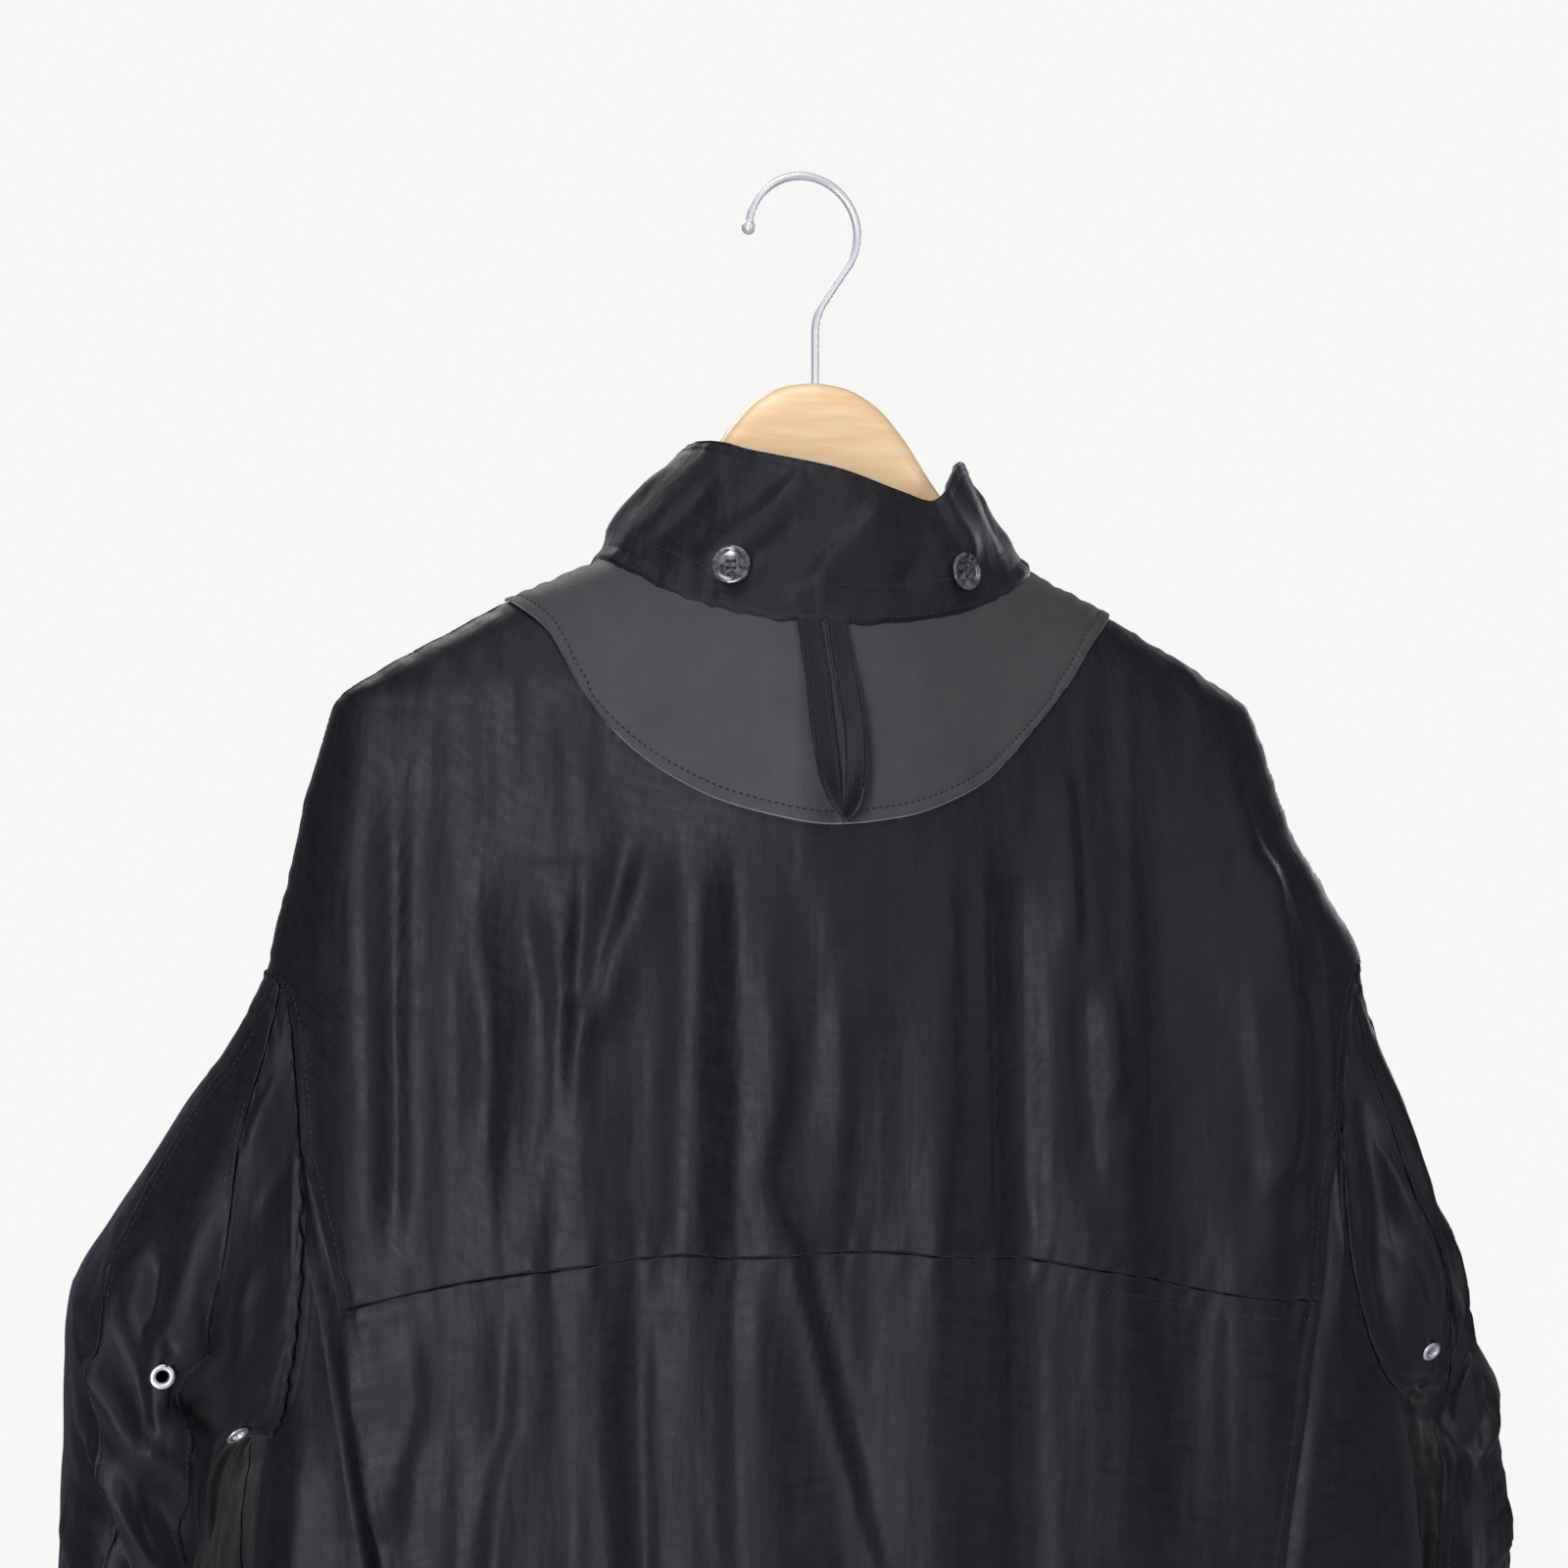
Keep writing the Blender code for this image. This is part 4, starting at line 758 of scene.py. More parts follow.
def ramp_colour(tree, value, places, dark, pale):
    """A colour that goes from dark to pale as a value goes from one place to the other."""
    ramp = add_node(tree, "ValToRGB", {"Fac": value})
    for stop, place, colour in zip(ramp.color_ramp.elements, places, (dark, pale)):
        stop.position = place
        stop.color = (*colour, 1)
    return ramp.outputs["Color"]


def value_range(tree, value, low, high):
    return add_node(tree, "MapRange", {"Value": value, "To Min": low, "To Max": high}).outputs["Result"]


def bump_normal(tree, height, strength, distance):
    bump = add_node(tree, "Bump", {"Height": height, "Strength": strength, "Distance": distance})
    return bump.outputs["Normal"]


def weave_heights():
    """Weave on a piece's u, v map in metres: heights of its threads, the slubs' mottle, and soft wrinkles."""
    group = bpy.data.node_groups.new("cotton weave", "ShaderNodeTree")
    for label in ("Threads", "Slubs", "Wrinkles"):
        group.interface.new_socket(label, in_out="OUTPUT", socket_type="NodeSocketFloat")
    out = group.nodes.new("NodeGroupOutput")
    on_cloth = add_node(group, "UVMap", {})
    on_cloth.uv_map = "cloth"
    flat = on_cloth.outputs["UV"]
    solid = add_node(group, "TexCoord", {}).outputs["Object"]

    def noise(source, stretch, scale, detail, roughness=0.5):
        place = add_node(group, "Mapping", {"Vector": source, "Scale": stretch}).outputs["Vector"]
        inputs = {"Vector": place, "Scale": scale, "Detail": detail, "Roughness": roughness}
        return add_node(group, "TexNoise", inputs).outputs["Fac"]

    def sum_of(a, share, b):
        made = group.nodes.new("ShaderNodeMath")
        made.operation = "MULTIPLY_ADD"
        return set_inputs(group, made, {0: a, 1: share, 2: b}).outputs[0]

    warp, weft = noise(flat, (1, 0.3, 1), 2400.0, 1.0), noise(flat, (0.3, 1, 1), 2400.0, 1.0)
    slub_warp, slub_weft = noise(flat, (1, 0.2, 1), 260.0, 2.0), noise(flat, (0.2, 1, 1), 260.0, 2.0)
    cloud = noise(flat, (1, 1, 1), 26.0, 4.0, 0.6)
    broad, narrow = noise(solid, (1, 1, 0.12), 48.0, 3.0), noise(solid, (1, 1, 0.4), 110.0, 2.0)
    mottle = sum_of(slub_warp, 1.0, sum_of(slub_weft, 1.0, cloud))
    slubs = add_node(group, "MapRange", {"Value": mottle, "From Min": 1.2, "From Max": 1.8})
    set_inputs(group, out, {
        "Threads": sum_of(warp, 0.8, weft),
        "Slubs": slubs.outputs["Result"],
        "Wrinkles": sum_of(narrow, 0.35, broad),
    })
    return group


weave = weave_heights()


def cloth_material(name, dark, pale, roughness, sheen, wrinkles=0.0):
    """Woven cotton: a fine weave with slubs, and a soft sheen all over."""
    made, tree = new_material(name)
    heights = tree.nodes.new("ShaderNodeGroup")
    heights.node_tree = weave
    slubs = heights.outputs["Slubs"]
    creased = add_node(tree, "Bump", {
        "Height": heights.outputs["Wrinkles"], "Strength": 1.0, "Distance": wrinkles,
        "Normal": bump_normal(tree, heights.outputs["Threads"], 0.6, 0.00012),
    })
    set_inputs(tree, tree.nodes["Principled BSDF"], {
        "Base Color": mixed_colour(tree, slubs, dark, pale),
        "Roughness": value_range(tree, slubs, roughness - 0.05, roughness + 0.08),
        "Normal": creased.outputs["Normal"],
        "Specular IOR Level": 0.30,
        "Sheen Weight": sheen, "Sheen Roughness": 0.45, "Sheen Tint": (0.78, 0.84, 1.0, 1),
    })
    return made


shell_cloth = cloth_material(
    "waxed cotton", (0.0068, 0.0062, 0.0084), (0.0100, 0.0092, 0.0124), 0.52, 0.07, 0.0013)
thread_cloth = cloth_material("sewing thread", (0.022, 0.022, 0.025), (0.036, 0.036, 0.04), 0.6, 0.1)
STEP = 3.0


def panel(name, node, theta, z, seams, away=0.0):
    """Makes a panel of the body's cloth, that far away from its form. Returns its outer face and normals."""
    base, out = cloth(theta, z), body_normals(theta, z)
    face = base + out * (seam_relief(base, seams) + away)[..., None]
    made = shell(name, face, out, CLOTH, shell_cloth)
    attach(made, "root")
    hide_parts(node)
    return face, grid_normals(face, out)


neck_line = np.stack(neckline(np.linspace(90, -90, 400)), -1)
leather_line = smooth_line(LEATHER_EDGE)
leather_line[0, 0], leather_line[-1, 0] = 90, -90
yoke_line = smooth_line(YOKE_SEAM)


def yoke_side(sign, corner):
    """The upper back's side: shoulder line, armhole and the pleat's edge down to the yoke seam."""
    shoulder_z = np.linspace(leather_line[0 if sign > 0 else -1, 1], ARMHOLE_TOP_Z, 120)
    last = armhole(sign, PLEAT_TOP_ANGLE)[1]
    pleat = pleat_border(sign, np.linspace(last, corner[1], 60))
    pleat[-1] = corner
    return np.concatenate([
        shoulder_border(sign, shoulder_z)[:-1],
        armhole_border(sign, np.linspace(0, PLEAT_TOP_ANGLE, 120)),
        pleat[1:],
    ])


yoke_left, yoke_right = yoke_side(1, yoke_line[0]), yoke_side(-1, yoke_line[-1])
cols = spaced((run_length(leather_line)[-1] + run_length(yoke_line)[-1]) / 2, STEP)
rows = spaced((run_length(yoke_left)[-1] + run_length(yoke_right)[-1]) / 2, STEP)
neck_row, leather_row, yoke_row = (shared_out(line, cols) for line in (neck_line, leather_line, yoke_line))
yoke_sides = [shared_out(line, rows) for line in (yoke_left, yoke_right)]
lower_part = grid_between(leather_row, yoke_row, *yoke_sides, rows, cols)
LEATHER_LENGTH = 62.0
LEATHER_STEP = 2.6
leather_rows = spaced(LEATHER_LENGTH, LEATHER_STEP)[:, None, None]
leather_part = neck_row[None] + (leather_row - neck_row)[None] * leather_rows
yoke_map = np.concatenate([leather_part[:-1], lower_part])
SEWN = (PUCKER, 14.0, 0.45)
PLAIN = (PUCKER, 14.0, 0.0)
FOLDED = (PUCKER * 0.6, 9.0, 0.2)
HEMMED = (PUCKER * 0.7, 12.0, 0.4)
yoke_face, yoke_out = panel(
    "cloth_back_yoke", "back_yoke", yoke_map[..., 0], yoke_map[..., 1],
    {"bottom": PLAIN, "left": PLAIN, "right": PLAIN},
)

LOWER_LENGTH = 430.0
lower_rows = spaced(LOWER_LENGTH, STEP)
hem_x = np.linspace(pleat_x(1, HEM_Z), pleat_x(-1, HEM_Z), 300)
hem_line = np.stack([theta_at(hem_x, HEM_Z), np.full(300, HEM_Z)], -1)
pleat_sides = []
for sign, corner in ((1, yoke_line[0]), (-1, yoke_line[-1])):
    side_line = pleat_border(sign, np.linspace(corner[1], HEM_Z, 200))
    side_line[0] = corner
    pleat_sides.append(shared_out(side_line, lower_rows))
lower_map = grid_between(yoke_row, shared_out(hem_line, cols), *pleat_sides, lower_rows, cols)
# The left pleat stands open, with a wavy edge, and the right one lies nearly flat
PLEAT_LIFT = {"left": (5.5, 12.0), "right": (1.4, 10.0)}
plain_lower = body(lower_map[..., 0], lower_map[..., 1])
pleat_lift = 0
for side, (height, reach) in PLEAT_LIFT.items():
    turned_lower, far = border_run(plain_lower, side)
    wander = 1 + 0.35 * ripples(turned_lower[:1], 46, 14)
    pleat_lift = pleat_lift + turned_back(height * wander * np.exp(-((far / reach) ** 2)), side)
below_seam = np.clip((plain_lower[:1, :, 2] - plain_lower[..., 2]) / 45, 0, 1)
lower_face, lower_out = panel(
    "cloth_back_lower", "back_lower", lower_map[..., 0], lower_map[..., 1],
    {"top": (0.75, 15.0, 0.0), "left": (0.9, 13.0, 0.3), "right": FOLDED, "bottom": HEMMED},
    pleat_lift * below_seam,
)

# How each side panel runs in under its pleat: how far, how deep at first and at its end, and over what slope
PLEAT_UNDERLAP = 22.0
PLEAT_SINK = {"left": 10.0, "right": 5.0}
UNDERLAP_SINK = 1.9
PLEAT_SLOPE = 10.0
PLEAT_GAP = {"left": 4.0, "right": 1.0}
PLEAT_FALL = {"left": 3.2, "right": 5.5}
UNDERLAP_COLUMNS = 14
side_faces = {}
for side, sign in SIDES.items():
    border = np.concatenate([
        armhole_border(sign, np.linspace(PLEAT_TOP_ANGLE + 1.5, 180, 160))[:-1],
        shoulder_border(sign, np.linspace(UNDERARM_Z, HEM_Z, 200)),
    ])
    rows = spaced(run_length(border)[-1], STEP)
    border = shared_out(border, rows)
    reach = np.abs(np.sin(np.radians(border[:, 0]))) * half_width(sign, border[:, 1])
    reach -= np.abs(pleat_x(sign, border[:, 1]))
    z = np.broadcast_to(border[0, 1] + (HEM_Z - border[0, 1]) * rows, (UNDERLAP_COLUMNS, len(rows)))
    start, flat_part = -PLEAT_UNDERLAP, np.minimum(reach * 0.7, PLEAT_SLOPE)
    shares = np.linspace(0, 1, UNDERLAP_COLUMNS)[:, None]
    theta = theta_at(sign * (np.abs(pleat_x(sign, z)) + start + (flat_part - start) * shares), z)
    rest = spaced(90.0, STEP)[6:, None]
    rest = (rest - rest[0]) / (1 - rest[0])
    theta = np.concatenate([theta, theta[-1] + (border[:, 0] - theta[-1]) * rest[1:]])
    z = np.concatenate([z, z[-1] + (border[:, 1] - z[-1]) * rest[1:]])
    over = np.concatenate([start + (flat_part - start) * shares, flat_part + 30 * rest[1:]])
    depth = np.minimum(PLEAT_SINK[side], 2.45 + 0.3 * reach)
    beyond = np.maximum(over - PLEAT_GAP[side], 0) / PLEAT_FALL[side]
    folded_in = depth + (UNDERLAP_SINK - depth) * np.clip((-2 - over) / 18, 0, 1)
    sink = np.where(over < PLEAT_GAP[side], folded_in, depth * np.exp(-(beyond**2)))
    side_faces[side] = panel(
        f"cloth_back_side_{side}", f"back_side_{side}", theta.T, z.T, {"right": FOLDED, "bottom": HEMMED},
        -sink.T,
    )

stitches("stitches_back", [
    stitch_row(lower_face, lower_out, "top", 9.0, (0.0, 0.14)),
    stitch_row(lower_face, lower_out, "top", 9.0, (0.76, 1.0)),
    stitch_row(yoke_face, yoke_out, "left", 6.0, (0.36, 1)),
    stitch_row(yoke_face, yoke_out, "right", 6.0, (0.36, 1)),
    stitch_row(lower_face, lower_out, "left", 5.0), stitch_row(lower_face, lower_out, "right", 5.0),
    stitch_row(lower_face, lower_out, "bottom", 14.0),
    *[stitch_row(*side_faces[side], "bottom", 14.0) for side in SIDES],
], thread_cloth)

# Fronts: two panels from the shoulders to the hem, joined by a placket with six buttons that is done up.
# They are cut, felled and topstitched as the back is.
PLACKET_HALF = 27.0
FRONT_LENGTH = 830.0
FRONT_WIDTH = 235.0
FRONT_STEP = 4.0
SIDE_SEAM_LAP = 0.45
placket_strips = []
front_faces = {}
for side, sign in SIDES.items():
    side_seam = shoulder_border(sign, np.linspace(UNDERARM_Z, HEM_Z, 200))
    side_seam[:, 0] -= sign * SIDE_SEAM_LAP * np.clip((UNDERARM_Z - side_seam[:, 1]) / 30, 0, 1)
    border = np.concatenate([
        shoulder_border(sign, np.linspace(NECK_SIDE_Z, ARMHOLE_TOP_Z, 160))[:-1],
        armhole_border(sign, 360 - np.linspace(0, 180, 200))[:-1],
        side_seam,
    ])
    rows = spaced(FRONT_LENGTH, FRONT_STEP)
    border = shared_out(border, rows)
    start = math.degrees(math.asin(PLACKET_HALF / half_width(sign, NECK_SIDE_Z)))
    neck = np.stack(neckline(sign * np.linspace(180 - start, 90, 300)), -1)
    cols = spaced(FRONT_WIDTH, FRONT_STEP)
    strip = []
    strip_x = np.linspace(0, PLACKET_HALF, 9)
    for x in strip_x:
        at_neck = neckline(sign * (180 - math.degrees(math.asin(x / half_width(sign, NECK_SIDE_Z)))))[1]
        z = at_neck + (HEM_Z - at_neck) * rows
        strip.append(np.stack([theta_at(sign * max(x, 1e-6), z, True), z], -1))
    hem = np.stack([np.linspace(strip[-1][-1, 0], side_seam[-1, 0], 300), np.full(300, HEM_Z)], -1)
    rest = grid_between(shared_out(neck, cols), shared_out(hem, cols), strip[-1], border, rows, cols)
    whole = np.concatenate([np.stack(strip[:-1], 1), rest], 1)
    placket_strips.append(whole[:, :len(strip_x)])
    front_faces[side] = panel(
        f"cloth_front_{side}", f"front_{side}", whole[..., 0], whole[..., 1],
        {"right": SEWN, "bottom": HEMMED},
    )
placket_map = np.concatenate([placket_strips[0][:, :0:-1], placket_strips[1]], 1)
placket_face, placket_out = panel(
    "cloth_front_placket", "front_placket", placket_map[..., 0], placket_map[..., 1],
    {"left": FOLDED, "right": FOLDED, "bottom": HEMMED},
    LAY_GAP + CLOTH,
)
stitches("stitches_front", [
    *[stitch_row(*front_faces[side], "right", BAND) for side in SIDES],
    *[stitch_row(*front_faces[side], "bottom", 14.0) for side in SIDES],
    stitch_row(placket_face, placket_out, "left", 5.0), stitch_row(placket_face, placket_out, "right", 5.0),
], thread_cloth)

# Sleeves: three panels each, set into the armhole and felled, with a plain cuff band. They hang empty, so
# they fold over the back corner and under the arm.
SLEEVE_COLUMNS = ("outer_x", "outer_z", "inner_x", "inner_z", "y", "depth")
SLEEVES = {
    "left": np.array([
        (257, -384, 258, -598, -32, 38),
        (275, -420, 273, -605, -36, 52),
        (291, -445, 279, -618, -40, 62),
        (308, -473, 282, -636, -43, 70),
        (326, -501, 283, -654, -46, 76),
        (342, -528, 284, -670, -48, 79),
        (347, -556, 284, -688, -50, 80),
        (347, -590, 284, -706, -52, 78),
        (348, -628, 284, -730, -54, 75),
        (350, -672, 285, -756, -56, 72),
        (352, -725, 287, -786, -57, 68),
        (353, -785, 290, -818, -58, 63),
        (353, -845, 294, -845, -59, 57),
    ]),
    "right": np.array([
        (-286, -384, -299, -598, 36, 38),
        (-288, -412, -312, -600, 32, 44),
        (-292, -443, -318, -603, 27, 49),
        (-304, -477, -320, -607, 21, 53),
        (-320, -510, -321, -613, 15, 57),
        (-337, -550, -321, -624, 8, 60),
        (-358, -600, -321, -645, 1, 62),
        (-369, -655, -322, -685, -5, 63),
        (-379, -715, -324, -738, -10, 62),
        (-386, -780, -327, -792, -14, 60),
        (-391, -845, -331, -845, -18, 57),
    ]),
}
ARMHOLE_BLEND = 0.18
ARMHOLE_ANGLES = np.arange(0, 361, 2)
# The left sleeve swings in before the body: how far its front inner quarter moves, by the share along it
SWING_COLUMNS = ("along", "x", "y")
SWING = {
    "left": np.array([
        (0.0, 0, 0), (0.10, -34, -12), (0.30, -40, -14), (0.60, -38, -12), (0.85, -20, -6), (1.0, -8, -2),
    ]),
    "right": np.array([(0.0, 0, 0), (1.0, 0, 0)]),
}
SWING_ANGLE = 228.0
SWING_WIDTH = 38.0
SEAM_COLUMNS = ("along", "outer_seam", "back_seam")
SLEEVE_SEAMS = np.array([
    (0.0, 8, 16), (0.08, 11, 50), (0.13, 14, 88), (0.22, 19, 108), (0.31, 28, 120),
    (0.40, 56, 130), (0.55, 70, 138), (1.0, 66, 140),
])
UNDERARM_SEAM = 195.0
SEAM_TURN = 165
SLEEVE_FOLDS = {
    "left": np.array([
        (0.10, 60, 0.36, 120, 0.07, 26, 3.5),
        (0.16, 30, 0.40, 85, 0.07, 24, -4.0),
        (0.34, 40, 0.50, 140, 0.07, 30, 5.5),
        (0.52, 30, 0.66, 160, 0.07, 30, -4.5),
        (0.30, -60, 0.52, -140, 0.08, 30, 4.5),
        (0.62, -40, 0.74, 140, 0.07, 34, 3.0),
        (0.80, 40, 0.90, -120, 0.06, 34, 2.5),
    ]),
    "right": np.array([
        (0.14, 95, 0.40, 150, 0.08, 30, 1.5),
        (0.36, 50, 0.50, 140, 0.07, 32, 3.0),
        (0.52, 30, 0.64, 160, 0.07, 30, -3.0),
        (0.44, -60, 0.60, -140, 0.08, 32, 3.0),
        (0.66, -40, 0.76, 140, 0.07, 34, 3.0),
        (0.84, 40, 0.92, -120, 0.06, 34, 2.5),
    ]),
}
CUFF_LENGTH = 50.0
CUFF_LIFT = 0.8
CUFF_DROP = 0.6
CUFF_CLOTH = CLOTH + 0.6
# Creases of the sleeves, in mm down the sleeve and degrees round it. Both have the same ones in front.
FRONT_SIDE_CREASES = (
    (10, 3.4, 0.4, (180, -20), (170, -60), (185, -110), (200, -150)),
    (10, -3.6, 0.3, (225, -10), (215, -60), (228, -120)),
    (11, 3.6, 0.4, (270, -20), (262, -70), (275, -130)),
    (10, 3.2, 0.4, (370, 40), (362, -20), (375, -80), (385, -140)),
    (9, 2.8, 0.4, (400, 150), (392, 90), (402, 20)),
)
SLEEVE_CREASES = {
    "left": (
        (9, 4.5, -0.5, (206, -42), (199, -18), (195, 4), (190, 31), (184, 55), (178, 73)),
        (8, 6.5, -0.5, (194, 14), (188, 38), (184, 60), (176, 80), (160, 98), (130, 122)),
        (9, -6.0, 0.2, (160, 44), (166, 60), (164, 78), (150, 92)),
        (9, -5.0, 0.2, (120, 46), (130, 58), (138, 66)),
        (6, 8.0, 0.6, (146, 66), (124, 80), (102, 92), (56, 108)),
        (9, -11.0, 0.3, (152, 84), (120, 98), (86, 118), (56, 142)),
        (16, -11.0, 0.0, (150, 128), (186, 106), (236, 96)),
        (5, 2.6, 0.3, (6, 48), (25, 51), (40, 58)),
        (5, 2.4, 0.3, (4, 77), (23, 76), (34, 79)),
        (6, -2.6, 0.2, (30, 92), (42, 103), (40, 120)),
        (5, 2.6, 0.3, (11, 90), (7, 112), (16, 128)),
        (10, 2.8, 0.4, (80, 6), (120, 12), (160, 20)),
        (11, 4.0, 0.4, (250, 20), (235, 60), (225, 100), (240, 140)),
        (10, -4.0, 0.3, (285, 10), (272, 60), (268, 110), (280, 150)),
        (11, 4.0, 0.4, (320, 0), (306, 50), (312, 110), (326, 160)),
        *FRONT_SIDE_CREASES,
    ),
    "right": (
        (6, 8.0, 0.5, (24, 66), (44, 82), (62, 95), (71, 107), (74, 128)),
        (8, -8.0, 0.2, (14, 60), (30, 74), (34, 90), (30, 112), (24, 156)),
        (10, 4.0, 0.4, (214, 146), (264, 123), (318, 84)),
        (4, 2.2, 0.2, (39, 98), (40, 106)),
        (4, 2.0, 0.2, (50, 106), (52, 114)),
        (4, 2.0, 0.2, (60, 118), (64, 126)),
        (4, 2.0, 0.2, (20, 76), (24, 82)),
        (4, 2.0, 0.2, (20, 92), (25, 98)),
        (9, -3.4, 0.3, (110, 60), (130, 100), (120, 140)),
        (10, 3.4, 0.4, (150, 50), (165, 90), (160, 130)),
        (10, -3.6, 0.3, (190, 40), (205, 90), (200, 140)),
        (11, 3.8, 0.4, (290, 10), (275, 60), (285, 120)),
        *FRONT_SIDE_CREASES,
    ),
}
SLEEVE_LENGTH = 460.0
DEGREE = 1.15
SLEEVE_ROUND = 66
SLEEVE_STREAKS = (1.8, 0.6, 0.35)
# Near this line round each sleeve, in degrees, its small folds are calmer
SMOOTH_LINE = {"left": 0.0, "right": -30.0}
SMOOTH_WIDTH = 42.0
SMOOTH_SHARE = 0.8
CLOTH_HOLE = 3.6
RING_LIFT = 0.6
FLAT_ROUND_EYELET = 11.5
# Each eyelet: the panel that it is in, how far down the sleeve, and degrees round it
EYELETS = {
    "left": (("back", 0.288, 84), ("under", 0.092, 152)),
    "right": (("under", 0.135, 138), ("under", 0.10, 182)),
}


def sleeve_value(side, name, s):
    table = SLEEVES[side]
    return monotone(np.linspace(0, 1, len(table)), table[:, SLEEVE_COLUMNS.index(name)], s)


def sleeve_ring(side, s, angle):
    outer, inner = (
        np.stack([sleeve_value(side, name, s) for name in (f"{end}_x", "y", f"{end}_z")], -1)
        for end in ("outer", "inner")
    )
    c, d = np.cos(np.radians(angle))[..., None], np.sin(np.radians(angle))[..., None]
    depth = sleeve_value(side, "depth", s)[..., None]
    return (outer + inner) / 2 + (outer - inner) / 2 * c + depth * d * np.array([0.0, 1.0, 0.0])


def smooth_sleeve(side, s, angle):
    """The sleeve without its folds, s from the armhole to the cuff, angle from its outer line to the back."""
    s = np.clip(s, 0, 1)
    points = sleeve_ring(side, s, angle)
    share = np.exp(-(((np.mod(angle, 360) - SWING_ANGLE) / SWING_WIDTH) ** 2))
    points[..., 0] += column(SWING[side], SWING_COLUMNS, "x", s) * share
    points[..., 1] += column(SWING[side], SWING_COLUMNS, "y", s) * share
    start = points_along(np.mod(angle, 360), ARMHOLE_ANGLES, armhole_points[side])
    start = start - sleeve_ring(side, np.zeros_like(s), angle)
    hold = np.clip(1 - s / ARMHOLE_BLEND, 0, 1)[..., None]
    return points + start * hold * hold * (3 - 2 * hold)


def sleeve(side, s, angle):
    """Outer face of a sleeve, and the way that it faces."""
    s, angle = np.broadcast_arrays(np.clip(s, 0, 1).astype(float), np.asarray(angle, float))
    fold = np.zeros(s.shape)
    for s0, a0, s1, a1, s_width, a_width, height in SLEEVE_FOLDS[side]:
        run = np.clip((s - s0) / (s1 - s0), 0, 1)
        away = np.mod(angle - (a0 + (a1 - a0) * run) + 180, 360) - 180
        beyond = np.where(s < s0, s0 - s, np.where(s > s1, s - s1, 0))
        fold += height * np.exp(-((away / a_width) ** 2) - (beyond / s_width) ** 2)
    creases = [
        (width, height, lean, *[(d, a * DEGREE) for d, a in path])
        for width, height, lean, *path in SLEEVE_CREASES[side]
    ]
    round_angle = np.mod(angle + SEAM_TURN, 360) - SEAM_TURN
    fold += crease_heights(creases, s * SLEEVE_LENGTH, round_angle * DEGREE)
    turn = np.radians(angle)
    spot = np.stack([np.cos(turn) * SLEEVE_ROUND, np.sin(turn) * SLEEVE_ROUND, s * SLEEVE_LENGTH * 0.35], -1)
    broad, narrow, fine = SLEEVE_STREAKS
    fold += broad * ridged(spot, 52, 6) + narrow * ridged(spot, 26, 7) + fine * ripples(spot, 13, 8)
    from_outline = round_angle - SMOOTH_LINE[side]
    fold *= 1 - SMOOTH_SHARE * np.exp(-((from_outline / SMOOTH_WIDTH) ** 2))
    fold *= np.clip(s / 0.05, 0, 1) * np.clip((1 - s) / 0.08, 0, 1)
    for _, s_eyelet, a_eyelet in EYELETS[side]:
        down, across = (s - s_eyelet) * SLEEVE_LENGTH, (round_angle - a_eyelet) * DEGREE
        fold *= 1 - np.exp(-(((down**2 + across**2) / FLAT_ROUND_EYELET**2) ** 2))
    out = normals(lambda a, b: smooth_sleeve(side, a, b), s, angle, 0.012, 2.0, SIDES[side])
    return smooth_sleeve(side, s, angle) + out * fold[..., None], out


def eyelet_seat(side, s, angle):
    """Where an eyelet sits on its sleeve, and the way that it faces."""
    s, angle = np.array([s]), np.array([float(angle)])
    axis = normals(lambda a, b: sleeve(side, a, b)[0], s, angle, 0.012, 4.0, SIDES[side])[0]
    return sleeve(side, s, angle)[0][0] + axis * RING_LIFT, axis


